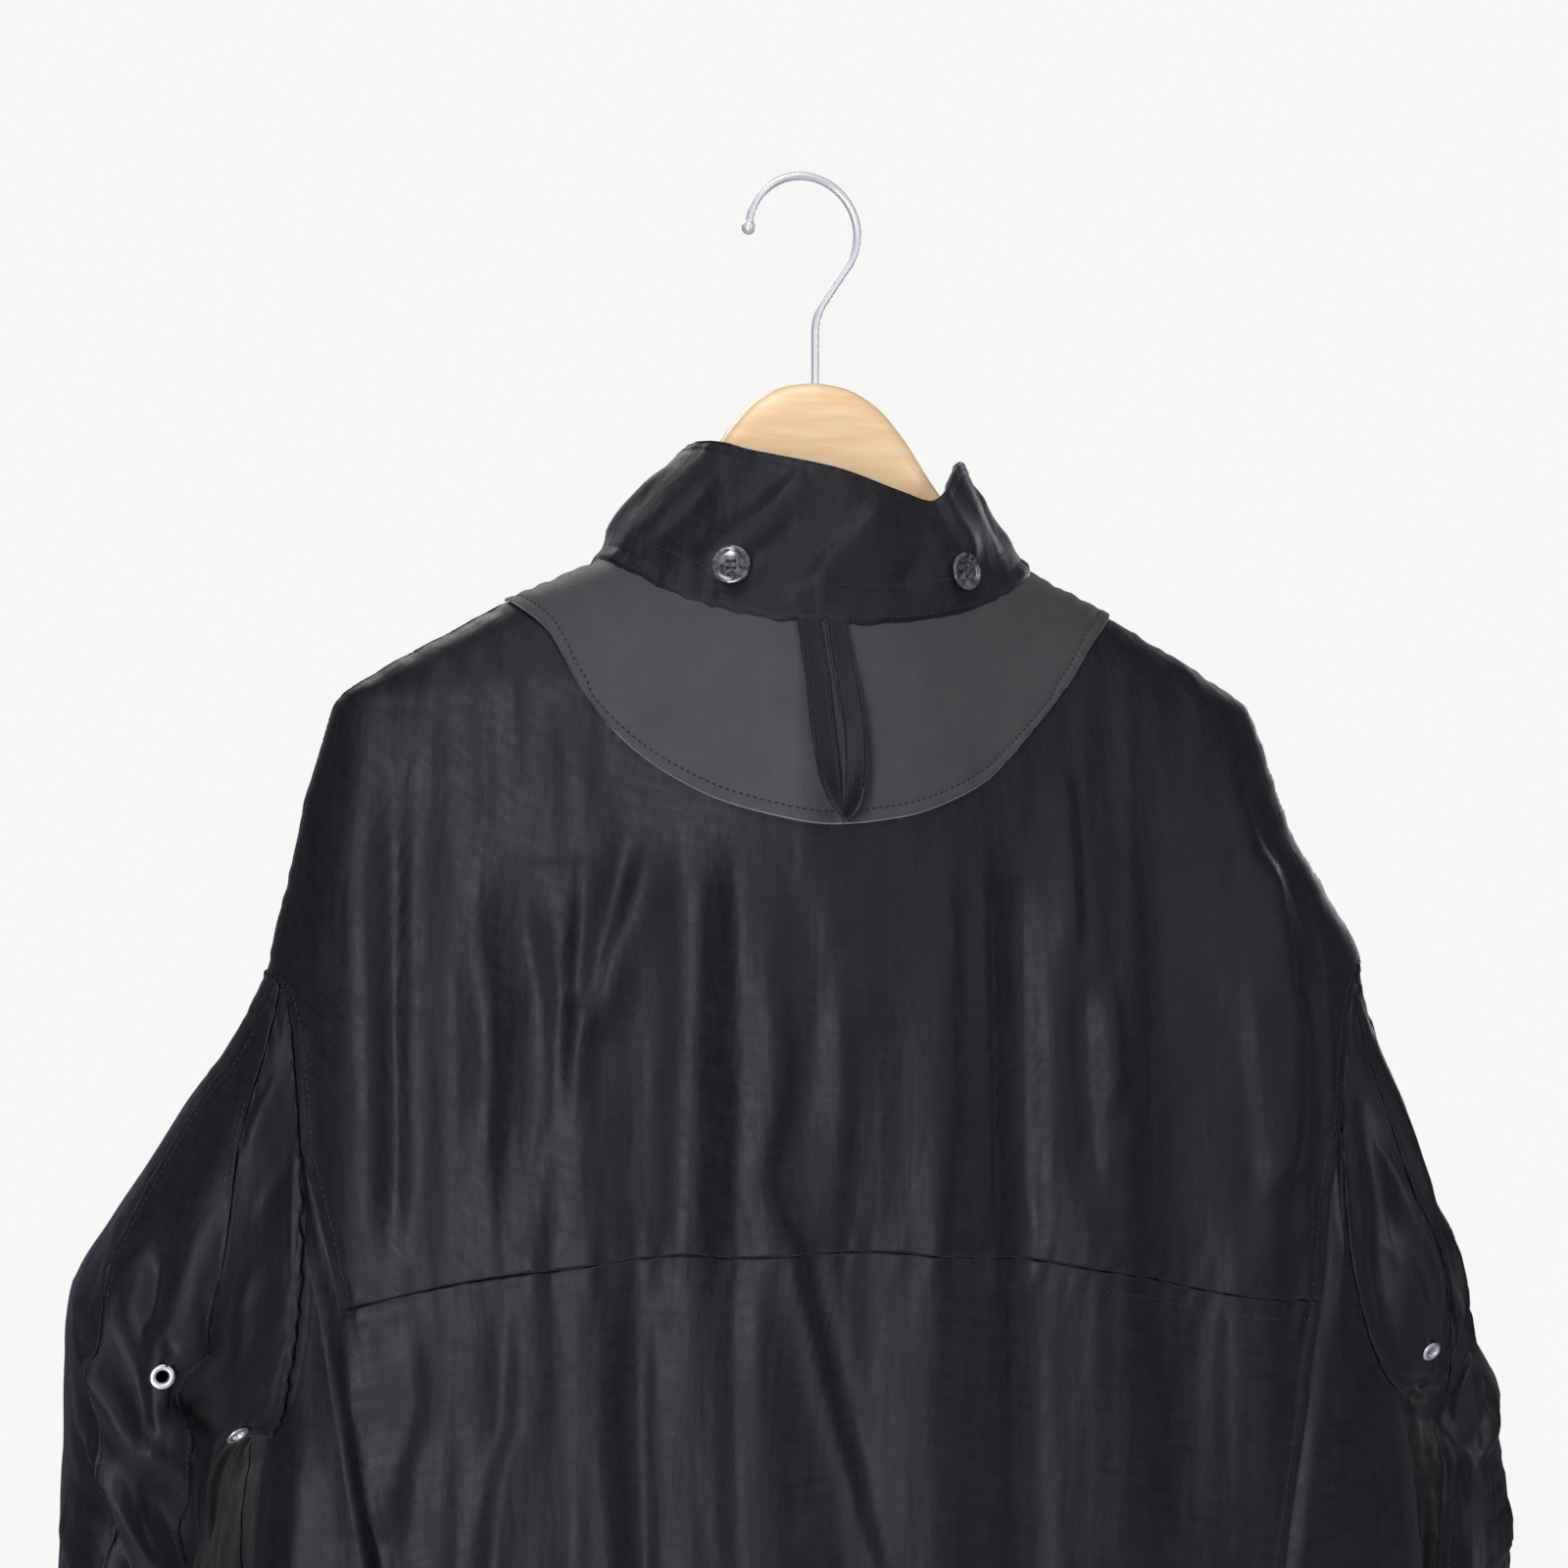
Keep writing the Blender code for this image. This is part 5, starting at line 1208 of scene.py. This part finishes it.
SLEEVE_STEP = 3.0
FINE_STEP = 2.0
ROPE_TOP_Z = -455.0
ROPE_HIGH = {"left": 4.4, "right": 1.8}
armhole_points, sleeve_faces, sleeve_rows = {}, {}, []
for side, sign in SIDES.items():
    armhole_points[side] = cloth(*armhole(sign, ARMHOLE_ANGLES))
    many = smooth_sleeve(side, np.linspace(0, 1, 200)[:, None], np.arange(0, 360, 15)[None, :])
    length = np.concatenate([[0], np.cumsum(np.linalg.norm(np.diff(many, axis=0), axis=-1).mean(1))])
    rows = spaced(length[-1], SLEEVE_STEP)
    s = np.interp(rows, length / length[-1], np.linspace(0, 1, 200))[:, None]
    outer_seam = column(SLEEVE_SEAMS, SEAM_COLUMNS, "outer_seam", s)
    back_seam = column(SLEEVE_SEAMS, SEAM_COLUMNS, "back_seam", s)
    under_seam = np.full_like(s, UNDERARM_SEAM)
    spans = {
        "outer": (under_seam - 360, outer_seam, 215.0, {"right": PLAIN}, (0.31, 0.48), 0.086),
        "back": (outer_seam, back_seam, 70.0, {"left": SEWN, "right": SEWN}, (0.12, 0.48), 0.0207),
        "under": (back_seam, under_seam, 110.0, {"left": PLAIN}, (0.20, 0.40), 0.025),
    }
    for part, (first, last, width, seams, flat, area) in spans.items():
        angle = first + (last - first) * spaced(width, SLEEVE_STEP if part == "outer" else FINE_STEP)[None, :]
        seams = {"top": (PUCKER, 13.0, 0.0), **seams}
        base, out = sleeve(side, s, angle)
        low_share = np.clip((ROPE_TOP_Z - base[:1, :, 2]) / 30, 0, 1)
        gathered = rope(base, "top", ROPE_HIGH[side] * low_share * np.clip((angle[:1] - 30) / 30, 0, 1))
        face = base + out * (seam_relief(base, seams) + gathered)[..., None]
        name = f"cloth_sleeve_{part}_{side}"
        holes = [(*eyelet_seat(side, s0, a0), CLOTH_HOLE) for where, s0, a0 in EYELETS[side] if where == part]
        made = shell(name, face, out, CLOTH, shell_cloth, holes)
        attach(made, "root")
        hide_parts(f"sleeve_{part}_{side}")
        sleeve_faces[side, part] = face, grid_normals(face, out)
    sleeve_rows += [
        stitch_row(*sleeve_faces[side, "back"], "left", BAND, (0.05, 1)),
        stitch_row(*sleeve_faces[side, "back"], "right", BAND, (0.12, 1)),
    ]
    cuff_angles = np.linspace(UNDERARM_SEAM - 360, UNDERARM_SEAM, 145)[None, :]
    edge, _ = sleeve(side, np.ones_like(cuff_angles), cuff_angles)
    out = edge - edge[:, :-1].mean(1, keepdims=True)
    out[..., 2] = 0
    out = unit(out)
    down = spaced(CUFF_LENGTH, 3.0)[:, None, None] * CUFF_LENGTH
    base = edge - np.array([0.0, 0.0, 1.0]) * (CUFF_DROP + down)
    out = np.broadcast_to(out, base.shape)
    face = base + out * (CUFF_LIFT + seam_relief(base, {"top": FOLDED, "bottom": FOLDED}))[..., None]
    made = shell(f"cloth_cuff_{side}", face, out, CUFF_CLOTH, shell_cloth)
    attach(made, "root")
    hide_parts(f"cuff_{side}")
    sleeve_rows += [stitch_row(face, out, "top", 5.0), stitch_row(face, out, "bottom", 5.0)]
stitches("stitches_sleeves", sleeve_rows, thread_cloth)

# Leather patch: a single piece of matte hide laid over the shoulders, stitched near its raw edge. Its top
# goes under the collar.


def leather_material(name, dark, pale):
    made, tree = new_material(name)
    place = add_node(tree, "TexCoord", {}).outputs["Object"]
    tone = add_node(tree, "TexNoise", {"Vector": place, "Scale": 24.0, "Detail": 10.0, "Roughness": 0.72})
    grain = add_node(tree, "TexVoronoi", {"Vector": place, "Scale": 620.0})
    set_inputs(tree, tree.nodes["Principled BSDF"], {
        "Base Color": ramp_colour(tree, tone.outputs["Fac"], (0.36, 0.68), dark, pale),
        "Normal": bump_normal(tree, grain.outputs["Distance"], 0.5, 0.0003),
        "Roughness": 0.62, "Specular IOR Level": 0.25, "Sheen Weight": 0.11,
    })
    return made


shoulder_leather = leather_material("shoulder leather", (0.049, 0.0475, 0.050), (0.065, 0.063, 0.065))
raw_edge = leather_material("raw leather edge", (0.20, 0.195, 0.19), (0.28, 0.27, 0.265))
LEATHER_THREAD = 0.7
dark_thread = cloth_material("dark thread", (0.008, 0.008, 0.009), (0.014, 0.014, 0.015), 0.6, 0.1)
leather_base, leather_out = yoke_face[:len(leather_part)], yoke_out[:len(leather_part)]
turned_leather, far = border_run(leather_base, "bottom")
wave = turned_back(ripples(turned_leather[:1] + 0 * far[..., None], 16.0, 21), "bottom")
far = turned_back(far, "bottom")
lift = LAY_GAP + LEATHER + 0.35 * wave * np.exp(-(far / 8) ** 2) - 0.6 * np.exp(-(((far - 6.5) / 1.3) ** 2))
lift += 0.35 * np.clip((6 - far) / 1.5, 0, 1) * np.clip(far / 1.0, 0, 1)
leather_face = leather_base + leather_out * lift[..., None]
leather = shell("leather_shoulder_patch", leather_face, leather_out, LEATHER, shoulder_leather, (), raw_edge)
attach(leather, "root")
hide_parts("leather_yoke")
patch_row = stitch_row(leather_face, grid_normals(leather_face, leather_out), "bottom", 6.5)
stitches("stitches_leather", [patch_row], dark_thread, LEATHER_THREAD)

# Collar: a stand of two layers of needle cord with an interlining, stitched along its top and above the
# neck seam. It stands up round the hook, folded a little at its right.
COLLAR_CLOTH = 2.4
COLLAR_LAP = 3.2
COLLAR_HEIGHT = 78.0
COLLAR_DEGREE = 1.55
COLLAR_COLUMNS = ("angle", "share", "top_z", "bulge")
COLLAR = np.array([
    (-180, 0.86, -190, 4), (-150, 0.84, -174, 4), (-120, 0.78, -154, 1), (-98, 0.73, -142, -3),
    (-82, 0.70, -138, -4), (-68, 0.70, -137, -3), (-57, 0.72, -139, 1), (-46, 0.76, -148, 4),
    (-33, 0.80, -160, 6), (-20, 0.80, -156, 6), (0, 0.77, -147, 5), (30, 0.70, -139, 5),
    (48, 0.65, -134, 5), (70, 0.61, -132, 5), (90, 0.60, -133, 5), (120, 0.72, -148, 5),
    (150, 0.82, -172, 4), (180, 0.86, -190, 4),
])
COLLAR_CREASES = (
    (8, 2.4, 0.4, (70, 10), (52, 30), (30, 52), (10, 80)),
    (7, -2.2, 0.2, (52, 8), (34, 28), (14, 50)),
    (7, 2.0, 0.4, (20, 6), (6, 26), (-12, 50), (-26, 76)),
    (7, -2.0, 0.2, (100, 6), (84, 30), (62, 60)),
    (6, 2.2, -0.4, (-62, 90), (-58, 60), (-66, 24)),
    (7, -1.8, 0.0, (-20, 8), (-32, 34), (-40, 66)),
    (7, 2.0, 0.4, (150, 10), (138, 34), (118, 66)),
    (7, 2.0, -0.4, (-130, 10), (-118, 36), (-100, 66)),
)


def collar(angle, rise):
    """Outer face of the collar, rise from 0 at the neck seam to 1 at its top edge."""
    angle, rise = np.broadcast_arrays(np.asarray(angle, float), np.asarray(rise, float))
    theta, z = neckline(angle)
    base = body(theta, z) + body_normals(theta, z) * (LAY_GAP + LEATHER)
    share = column(COLLAR, COLLAR_COLUMNS, "share", angle)
    top = np.stack([
        HANGER_X + (base[..., 0] - HANGER_X) * share,
        base[..., 1] * share,
        column(COLLAR, COLLAR_COLUMNS, "top_z", angle),
    ], -1)
    out = base - np.array([HANGER_X, 0, 0])
    out[..., 2] = 0
    out /= np.linalg.norm(out, axis=-1, keepdims=True)
    bulge = column(COLLAR, COLLAR_COLUMNS, "bulge", angle) * np.sin(np.pi * np.clip(rise, 0, 1)) ** 1.2
    return base + (top - base) * rise[..., None] + out * bulge[..., None]


def collar_normals(angle, rise):
    return normals(collar, angle, rise, 2.0, 0.04, -1.0)


collar_cloth = cloth_material(
    "needle cord", (0.0060, 0.0057, 0.0078), (0.0096, 0.0091, 0.0122), 0.55, 0.16, 0.0016)
around = np.linspace(-180, 180, 281)
rise = spaced(COLLAR_HEIGHT, 2.2, 1.2, 9.6)[:, None]
angle = np.broadcast_to(around[None, :], (len(rise), len(around))).copy()
angle[:, 0] += 0.4
angle[:, -1] -= 0.4
rise = np.broadcast_to(rise, angle.shape)
collar_base, collar_out = collar(angle, rise), collar_normals(angle, rise)
folds = crease_heights(COLLAR_CREASES, angle * COLLAR_DEGREE, rise * COLLAR_HEIGHT)
folds = 1.5 * folds * np.clip(rise / 0.1, 0, 1) + 0.5 * ripples(collar_base, 34, 31)
folds = folds + seam_relief(collar_base, {"bottom": FOLDED, "top": SEWN})
collar_face = collar_base + collar_out * folds[..., None]
collar_face += collar_out * np.exp(-((lengths(collar_base) / 3.5) ** 2))[..., None]
collar_face[0] -= unit(collar_face[1] - collar_face[0]) * COLLAR_LAP
collar_piece = shell("cord_collar", collar_face, collar_out, COLLAR_CLOTH, collar_cloth)
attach(collar_piece, "root")
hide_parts("collar")
collar_facing = grid_normals(collar_face, collar_out)
collar_rows = (("top", 4.0), ("top", 19.0), ("bottom", 5.0))
stitches(
    "stitches_collar", [stitch_row(collar_face, collar_facing, *row) for row in collar_rows], thread_cloth)

# Hanger loop: a tape folded double and sewn under the collar. It hangs down the leather and turns over at
# its end.
LOOP = np.array([
    (15.5, -218.5, -0.4, 0), (15.0, -224, 0.3, 0), (13.5, -240, 1.2, 3), (11.5, -258, 2.8, 6),
    (8.5, -280, 4.6, 14), (5.5, -298, 6.5, 40), (2.5, -309, 8.2, 78), (-0.5, -313, 8.8, 92),
    (-3.5, -307, 8.4, 112), (-4.7, -293, 7.6, 136), (-4.2, -277, 6.4, 154), (-2.0, -259, 4.4, 167),
    (1.0, -241, 1.8, 175), (2.7, -224, 0.2, 180), (2.9, -218.5, -0.4, 180),
])
TAPE_THICK = 1.4
TAPE_GAP = 1.0
# The tape's cross-section: across it, and how far it stands out there
TAPE_ACROSS = np.array([-6, -5, -3.4, -1.7, 0, 1.7, 3.4, 5, 6.0])
TAPE_RELIEF = np.array([0, 0.15, -0.12, 0.1, 0.12, 0.1, -0.12, 0.15, 0.0])
TAPE_STITCH = 2.6
steps = np.linspace(0, len(LOOP) - 1, 110)
known = np.arange(len(LOOP))
x, z, off, turn = (monotone(known, LOOP[:, k], steps) for k in range(4))
theta = theta_at(x, z)
out = body_normals(theta, z)
middle = body(theta, z) + out * (LAY_GAP + LEATHER + TAPE_GAP + off)[:, None]
run = unit(np.gradient(middle, axis=0))
lean = np.radians(turn)
flat = np.array([1.0, 0, 0]) * np.cos(lean)[:, None] + out * np.sin(lean)[:, None] * 0.75
flat = unit(flat - run * np.sum(flat * run, -1, keepdims=True))
thick = np.cross(run, flat)
tape_out = np.broadcast_to(thick[:, None], (len(thick), len(TAPE_ACROSS), 3))
tape_face = middle[:, None] + flat[:, None] * TAPE_ACROSS[None, :, None]
tape_face = tape_face + thick[:, None] * (TAPE_THICK / 2 + TAPE_RELIEF)[None, :, None]
tape = shell("tape_loop", tape_face, tape_out, TAPE_THICK, collar_cloth)
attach(tape, "root")
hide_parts("hanger_loop")
stitches("stitches_loop", [
    stitch_row(face, out, side, TAPE_STITCH)
    for face, out in ((tape_face, tape_out), (tape_face - tape_out * TAPE_THICK, -tape_out))
    for side in ("left", "right")
], thread_cloth)

# Buttons: turned from dark marbled horn, with a raised rim, a dished middle and four holes, sewn on with
# two bars of thread. Two are on the collar and six close the front.
COLLAR_BUTTONS = {"left": (30, 0.25), "right": (-34, 0.33)}
FRONT_BUTTON_Z = (-300, -420, -540, -660, -780, -900)
BUTTON_PROFILE = (
    (0, 0.0), (5.0, 0.0), (8.1, 1.1), (8.85, 1.9), (9.0, 2.4), (8.7, 2.95), (8.1, 3.2), (7.4, 3.05),
    (6.7, 2.55), (5.6, 2.3), (0, 2.2),
)
BUTTON_SIDES = 40
BUTTON_SMOOTH = 35
BUTTON_GAP = 0.9
BUTTON_TURN = 0.7
HOLE_OFF = 1.6
HOLE_RADIUS = 0.85


def turn_profile(profile, sides, material, smooth_under, holes=()):
    """A solid: a profile of radius and height in mm turned round Z, with round holes drilled along Z."""
    mesh = bpy.data.meshes.new("profile")
    edges = [(i, i + 1) for i in range(len(profile) - 1)]
    mesh.from_pydata([(r * MM, 0, h * MM) for r, h in profile], edges, [])
    made = bpy.data.objects.new("profile", mesh)
    bpy.context.scene.collection.objects.link(made)
    select_only(made)
    bpy.ops.object.mode_set(mode="EDIT")
    bpy.ops.mesh.select_all(action="SELECT")
    bpy.ops.mesh.spin(steps=sides, angle=2 * math.pi, center=(0, 0, 0), axis=(0, 0, 1), use_auto_merge=True)
    bpy.ops.mesh.select_all(action="SELECT")
    bpy.ops.mesh.remove_doubles(threshold=0.00002)
    bpy.ops.mesh.normals_make_consistent(inside=False)
    bpy.ops.object.mode_set(mode="OBJECT")
    for x, y in holes:
        bpy.ops.mesh.primitive_cylinder_add(
            vertices=16, radius=HOLE_RADIUS * MM, depth=0.02, location=(x * MM, y * MM, 0))
        drill = bpy.context.object
        select_only(made)
        hole = made.modifiers.new("hole", "BOOLEAN")
        hole.operation = "DIFFERENCE"
        hole.solver = "EXACT"
        hole.object = drill
        bpy.ops.object.modifier_apply(modifier=hole.name)
        bpy.data.objects.remove(drill)
    made.data.materials.clear()
    made.data.materials.append(material)
    select_only(made)
    bpy.ops.object.shade_smooth_by_angle(angle=math.radians(smooth_under))
    return made


def set_at(made, name, place, out, roll=0.0):
    """A copy of a turned piece, with its axis along out at a place in mm, in its own mesh."""
    mesh = made.data.copy()
    turn = Vector(out).to_track_quat("Z", "Y").to_matrix().to_4x4()
    mesh.transform(Matrix.Translation(Vector(place) * MM) @ turn @ Matrix.Rotation(roll, 4, "Z"))
    copy = bpy.data.objects.new(name, mesh)
    bpy.context.scene.collection.objects.link(copy)
    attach(copy, "root")
    return copy


def horn_material():
    made, tree = new_material("marbled horn")
    veins = add_node(tree, "TexNoise", {
        "Vector": add_node(tree, "TexCoord", {}).outputs["Object"],
        "Scale": 170.0, "Detail": 5.0, "Distortion": 1.6,
    }).outputs["Fac"]
    set_inputs(tree, tree.nodes["Principled BSDF"], {
        "Base Color": ramp_colour(tree, veins, (0.38, 0.66), (0.018, 0.018, 0.020), (0.16, 0.16, 0.165)),
        "Roughness": 0.24, "Coat Weight": 0.8, "Coat Roughness": 0.08,
    })
    return made


button_holes = [(a * HOLE_OFF, b * HOLE_OFF) for a in (-1, 1) for b in (-1, 1)]
button = turn_profile(BUTTON_PROFILE, BUTTON_SIDES, horn_material(), BUTTON_SMOOTH, button_holes)


def button_threads(name, place, out, roll):
    """Two bars of thread from hole to hole, three strands each."""
    out = unit(np.array(out, float))
    turn = np.array(Vector(out).to_track_quat("Z", "Y").to_matrix() @ Matrix.Rotation(roll, 3, "Z"))
    rows = []
    for b in (-1, 1):
        for strand in (-0.35, 0.0, 0.35):
            rows.append((
                np.array([place + turn @ np.array([0.0, b * HOLE_OFF + strand, 2.35])]),
                np.array([turn @ np.array([1.0, 0, 0])]), np.array([out]),
            ))
    stitches(name, rows, thread_cloth, STITCH_THICK, 2 * HOLE_OFF + 1.0)


spots = {}
for side, (at_angle, at_rise) in COLLAR_BUTTONS.items():
    at = np.array([float(at_angle)]), np.array([at_rise])
    out = collar_normals(*at)[0]
    spots[f"collar_button_{side}"] = (collar(*at)[0] + out * BUTTON_GAP, out)
for number, z in enumerate(FRONT_BUTTON_Z, 1):
    at = np.array([180.0]), np.array([float(z)])
    out = body_normals(*at)[0]
    spots[f"front_button_{number}"] = (cloth(*at)[0] + out * (LAY_GAP + CLOTH + BUTTON_GAP), out)
for number, (node, (place, out)) in enumerate(spots.items()):
    made = set_at(button, f"horn_{node}", place, out, number * BUTTON_TURN)
    button_threads(f"threads_{node}", place, out, number * BUTTON_TURN)
    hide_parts(node)
bpy.data.objects.remove(button)

# Eyelets: pressed steel rings with a barrel through the cloth, two at the top of each sleeve to let air in.
# The cloth lies flat round each one and is cut away inside it.
RING_SIDES = 36
SMOOTH_UNDER = 40
EYELET_PROFILE = (
    (2.8, -2.6), (3.3, -2.6), (3.3, 0.25), (5.2, 0.25), (5.4, 0.5), (5.3, 0.8), (4.9, 1.05), (4.3, 1.2),
    (3.7, 1.2), (3.2, 1.05), (2.85, 0.6), (2.8, -2.6),
)


def metal_material(name, colour, roughness, metallic, scratch, dullest):
    """Metal with faint scratches: rougher by up to scratch, and darker down to the share dullest."""
    made, tree = new_material(name)
    place = add_node(tree, "TexCoord", {}).outputs["Object"]
    haze = add_node(tree, "TexNoise", {"Vector": place, "Scale": 240.0, "Detail": 4.0}).outputs["Fac"]
    set_inputs(tree, tree.nodes["Principled BSDF"], {
        "Base Color": mixed_colour(tree, haze, [c * dullest for c in colour], colour),
        "Roughness": value_range(tree, haze, roughness, roughness + scratch),
        "Metallic": metallic,
    })
    return made


eyelet_steel = metal_material("eyelet steel", (0.78, 0.80, 0.85), 0.28, 0.85, 0.2, 0.82)
ring = turn_profile(EYELET_PROFILE, RING_SIDES, eyelet_steel, SMOOTH_UNDER)
for side, places in EYELETS.items():
    for number, (part, s, angle) in enumerate(places, 1):
        made = set_at(ring, f"ring_eyelet_{side}_{number}", *eyelet_seat(side, s, angle))
        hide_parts(f"eyelet_{side}_{number}")
bpy.data.objects.remove(ring)

# Hanger: two arms of beech sawn to one curve and jointed at the middle, sanded and lacquered. It carries the
# shoulders, and the steel hook is screwed down into its middle.
HANGER_SIDES = 48
HANGER_SQUARE = 0.8
HANGER_COLUMNS = ("offset", "top", "bottom", "depth")
HANGER = np.array([
    (0, -99, -170, 8), (14, -101, -172, 8), (30, -109, -176, 8), (44, -124, -181, 9), (58, -145, -187, 10),
    (74, -166, -196, 12), (92, -184, -208, 13), (112, -197, -221, 14), (150, -213.5, -241, 13),
    (185, -233, -262, 12), (205, -245.5, -272, 10.5), (215, -253, -274, 8), (221, -261, -272, 4.5),
])
side_stations = np.linspace(0, HANGER[-1, 0], 90)
stations = np.unique(np.concatenate([-side_stations, side_stations]))
turn = np.radians(np.arange(HANGER_SIDES) * 360 / HANGER_SIDES)
c, d = np.cos(turn), np.sin(turn)
rings = []
for offset in stations:
    top, bottom, depth = (column(HANGER, HANGER_COLUMNS, name, abs(offset)) for name in HANGER_COLUMNS[1:])
    y = depth * np.sign(c) * np.abs(c) ** HANGER_SQUARE
    z = (top + bottom) / 2 + (top - bottom) / 2 * np.sign(d) * np.abs(d) ** HANGER_SQUARE
    rings.append(np.stack([np.full(HANGER_SIDES, HANGER_X + offset), y, z], -1))


def tube_mesh(name, rings, material):
    """A closed, smooth solid through rings of points in mm."""
    rings = np.asarray(rings)
    count, sides = rings.shape[:2]
    index = np.arange(count * sides).reshape(count, sides)
    after = np.roll(index, -1, axis=1)
    quads = np.stack([index[:-1], after[:-1], after[1:], index[1:]], -1).reshape(-1, 4)
    points = np.concatenate([rings.reshape(-1, 3), rings[:1].mean(1), rings[-1:].mean(1)])
    mesh = bpy.data.meshes.new(name)
    caps = [(int(a), int(b), count * sides) for a, b in zip(after[0], index[0])]
    caps += [(int(a), int(b), count * sides + 1) for a, b in zip(index[-1], after[-1])]
    mesh.from_pydata((points * MM).tolist(), [], quads.tolist() + caps)
    mesh.materials.append(material)
    made = bpy.data.objects.new(name, mesh)
    bpy.context.scene.collection.objects.link(made)
    turn_outward(made)
    bpy.ops.object.shade_smooth_by_angle(angle=math.radians(SMOOTH_UNDER))
    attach(made, "root")
    return made


def beech_material():
    made, tree = new_material("lacquered beech")
    stretch = add_node(tree, "Mapping", {
        "Vector": add_node(tree, "TexCoord", {}).outputs["Object"],
        "Scale": (0.09, 1.0, 0.9), "Rotation": (0, math.radians(24), 0),
    })
    grain = add_node(tree, "TexNoise", {
        "Vector": stretch.outputs["Vector"], "Scale": 260.0, "Detail": 5.0, "Distortion": 0.6,
    }).outputs["Fac"]
    set_inputs(tree, tree.nodes["Principled BSDF"], {
        "Base Color": ramp_colour(tree, grain, (0.35, 0.7), (0.95, 0.64, 0.33), (1.0, 0.77, 0.46)),
        "Normal": bump_normal(tree, grain, 0.15, 0.0002),
        "Roughness": 0.42, "Coat Weight": 0.35, "Coat Roughness": 0.25,
    })
    return made


beech = tube_mesh("beech_arms", rings, beech_material())
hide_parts("hanger_wood")

# Hook: one bend of chromed steel wire with a ball at its end, screwed down into the wood. The inside of its
# top is the part's origin.
WIRE = 2.0
HOOK_RADIUS = 27.5
HOOK_BALL = 3.4
HOOK_BEND_Z = -66.0
HOOK_SIDES = 24
bend = np.radians(np.linspace(8, 215, 90))
centre_z = WIRE - HOOK_RADIUS
path = [(HOOK_RADIUS * np.cos(b), centre_z + HOOK_RADIUS * np.sin(b)) for b in bend]
corner = np.array([HANGER_X, HOOK_BEND_Z])
last = np.array(path[-1])
path += [tuple(last + (corner - last) * share) for share in (0.12, 0.24, 0.36, 0.48, 0.6, 0.7)]
before, after = np.array(path[-1]), corner + np.array([0, -8.0])
path += [
    tuple((1 - q) ** 2 * before + 2 * q * (1 - q) * corner + q**2 * after)
    for q in np.linspace(0.1, 1, 10)
]
path += [(HANGER_X, z) for z in np.linspace(corner[1] - 12, HANGER[0, 1] - 0.4, 6)]
path = np.array(path)
start = path[0]
back = (path[0] - path[1]) / np.linalg.norm(path[0] - path[1])
ball = [
    (back * HOOK_BALL * (1 + np.cos(a)) + start, HOOK_BALL * np.sin(a))
    for a in np.radians(np.linspace(6, 142, 16))
]
points = np.array([p for p, _ in ball] + list(path))
radii = np.array([r for _, r in ball] + [WIRE] * len(path))
run = unit(np.gradient(points, axis=0))
run[: len(ball)] = -back
run[-1] = (0, -1)
turn = np.radians(np.arange(HOOK_SIDES) * 15)[:, None]
rings = []
for (px, pz), (rx, rz), radius in zip(points, run, radii):
    side_way = np.array([-rz, 0, rx])
    around = np.cos(turn) * side_way + np.sin(turn) * np.array([0, 1.0, 0])
    rings.append(np.array([px, 0, pz]) + radius * around)
# The hook is only 0.3 metal. The rest of its shine is a pale grey base colour, a painted reflection of the
# pale room round the hook.
hook = tube_mesh("chrome_hook", rings, metal_material("chrome", (0.80, 0.81, 0.83), 0.32, 0.30, 0.02, 0.97))
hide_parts("hanger_hook")
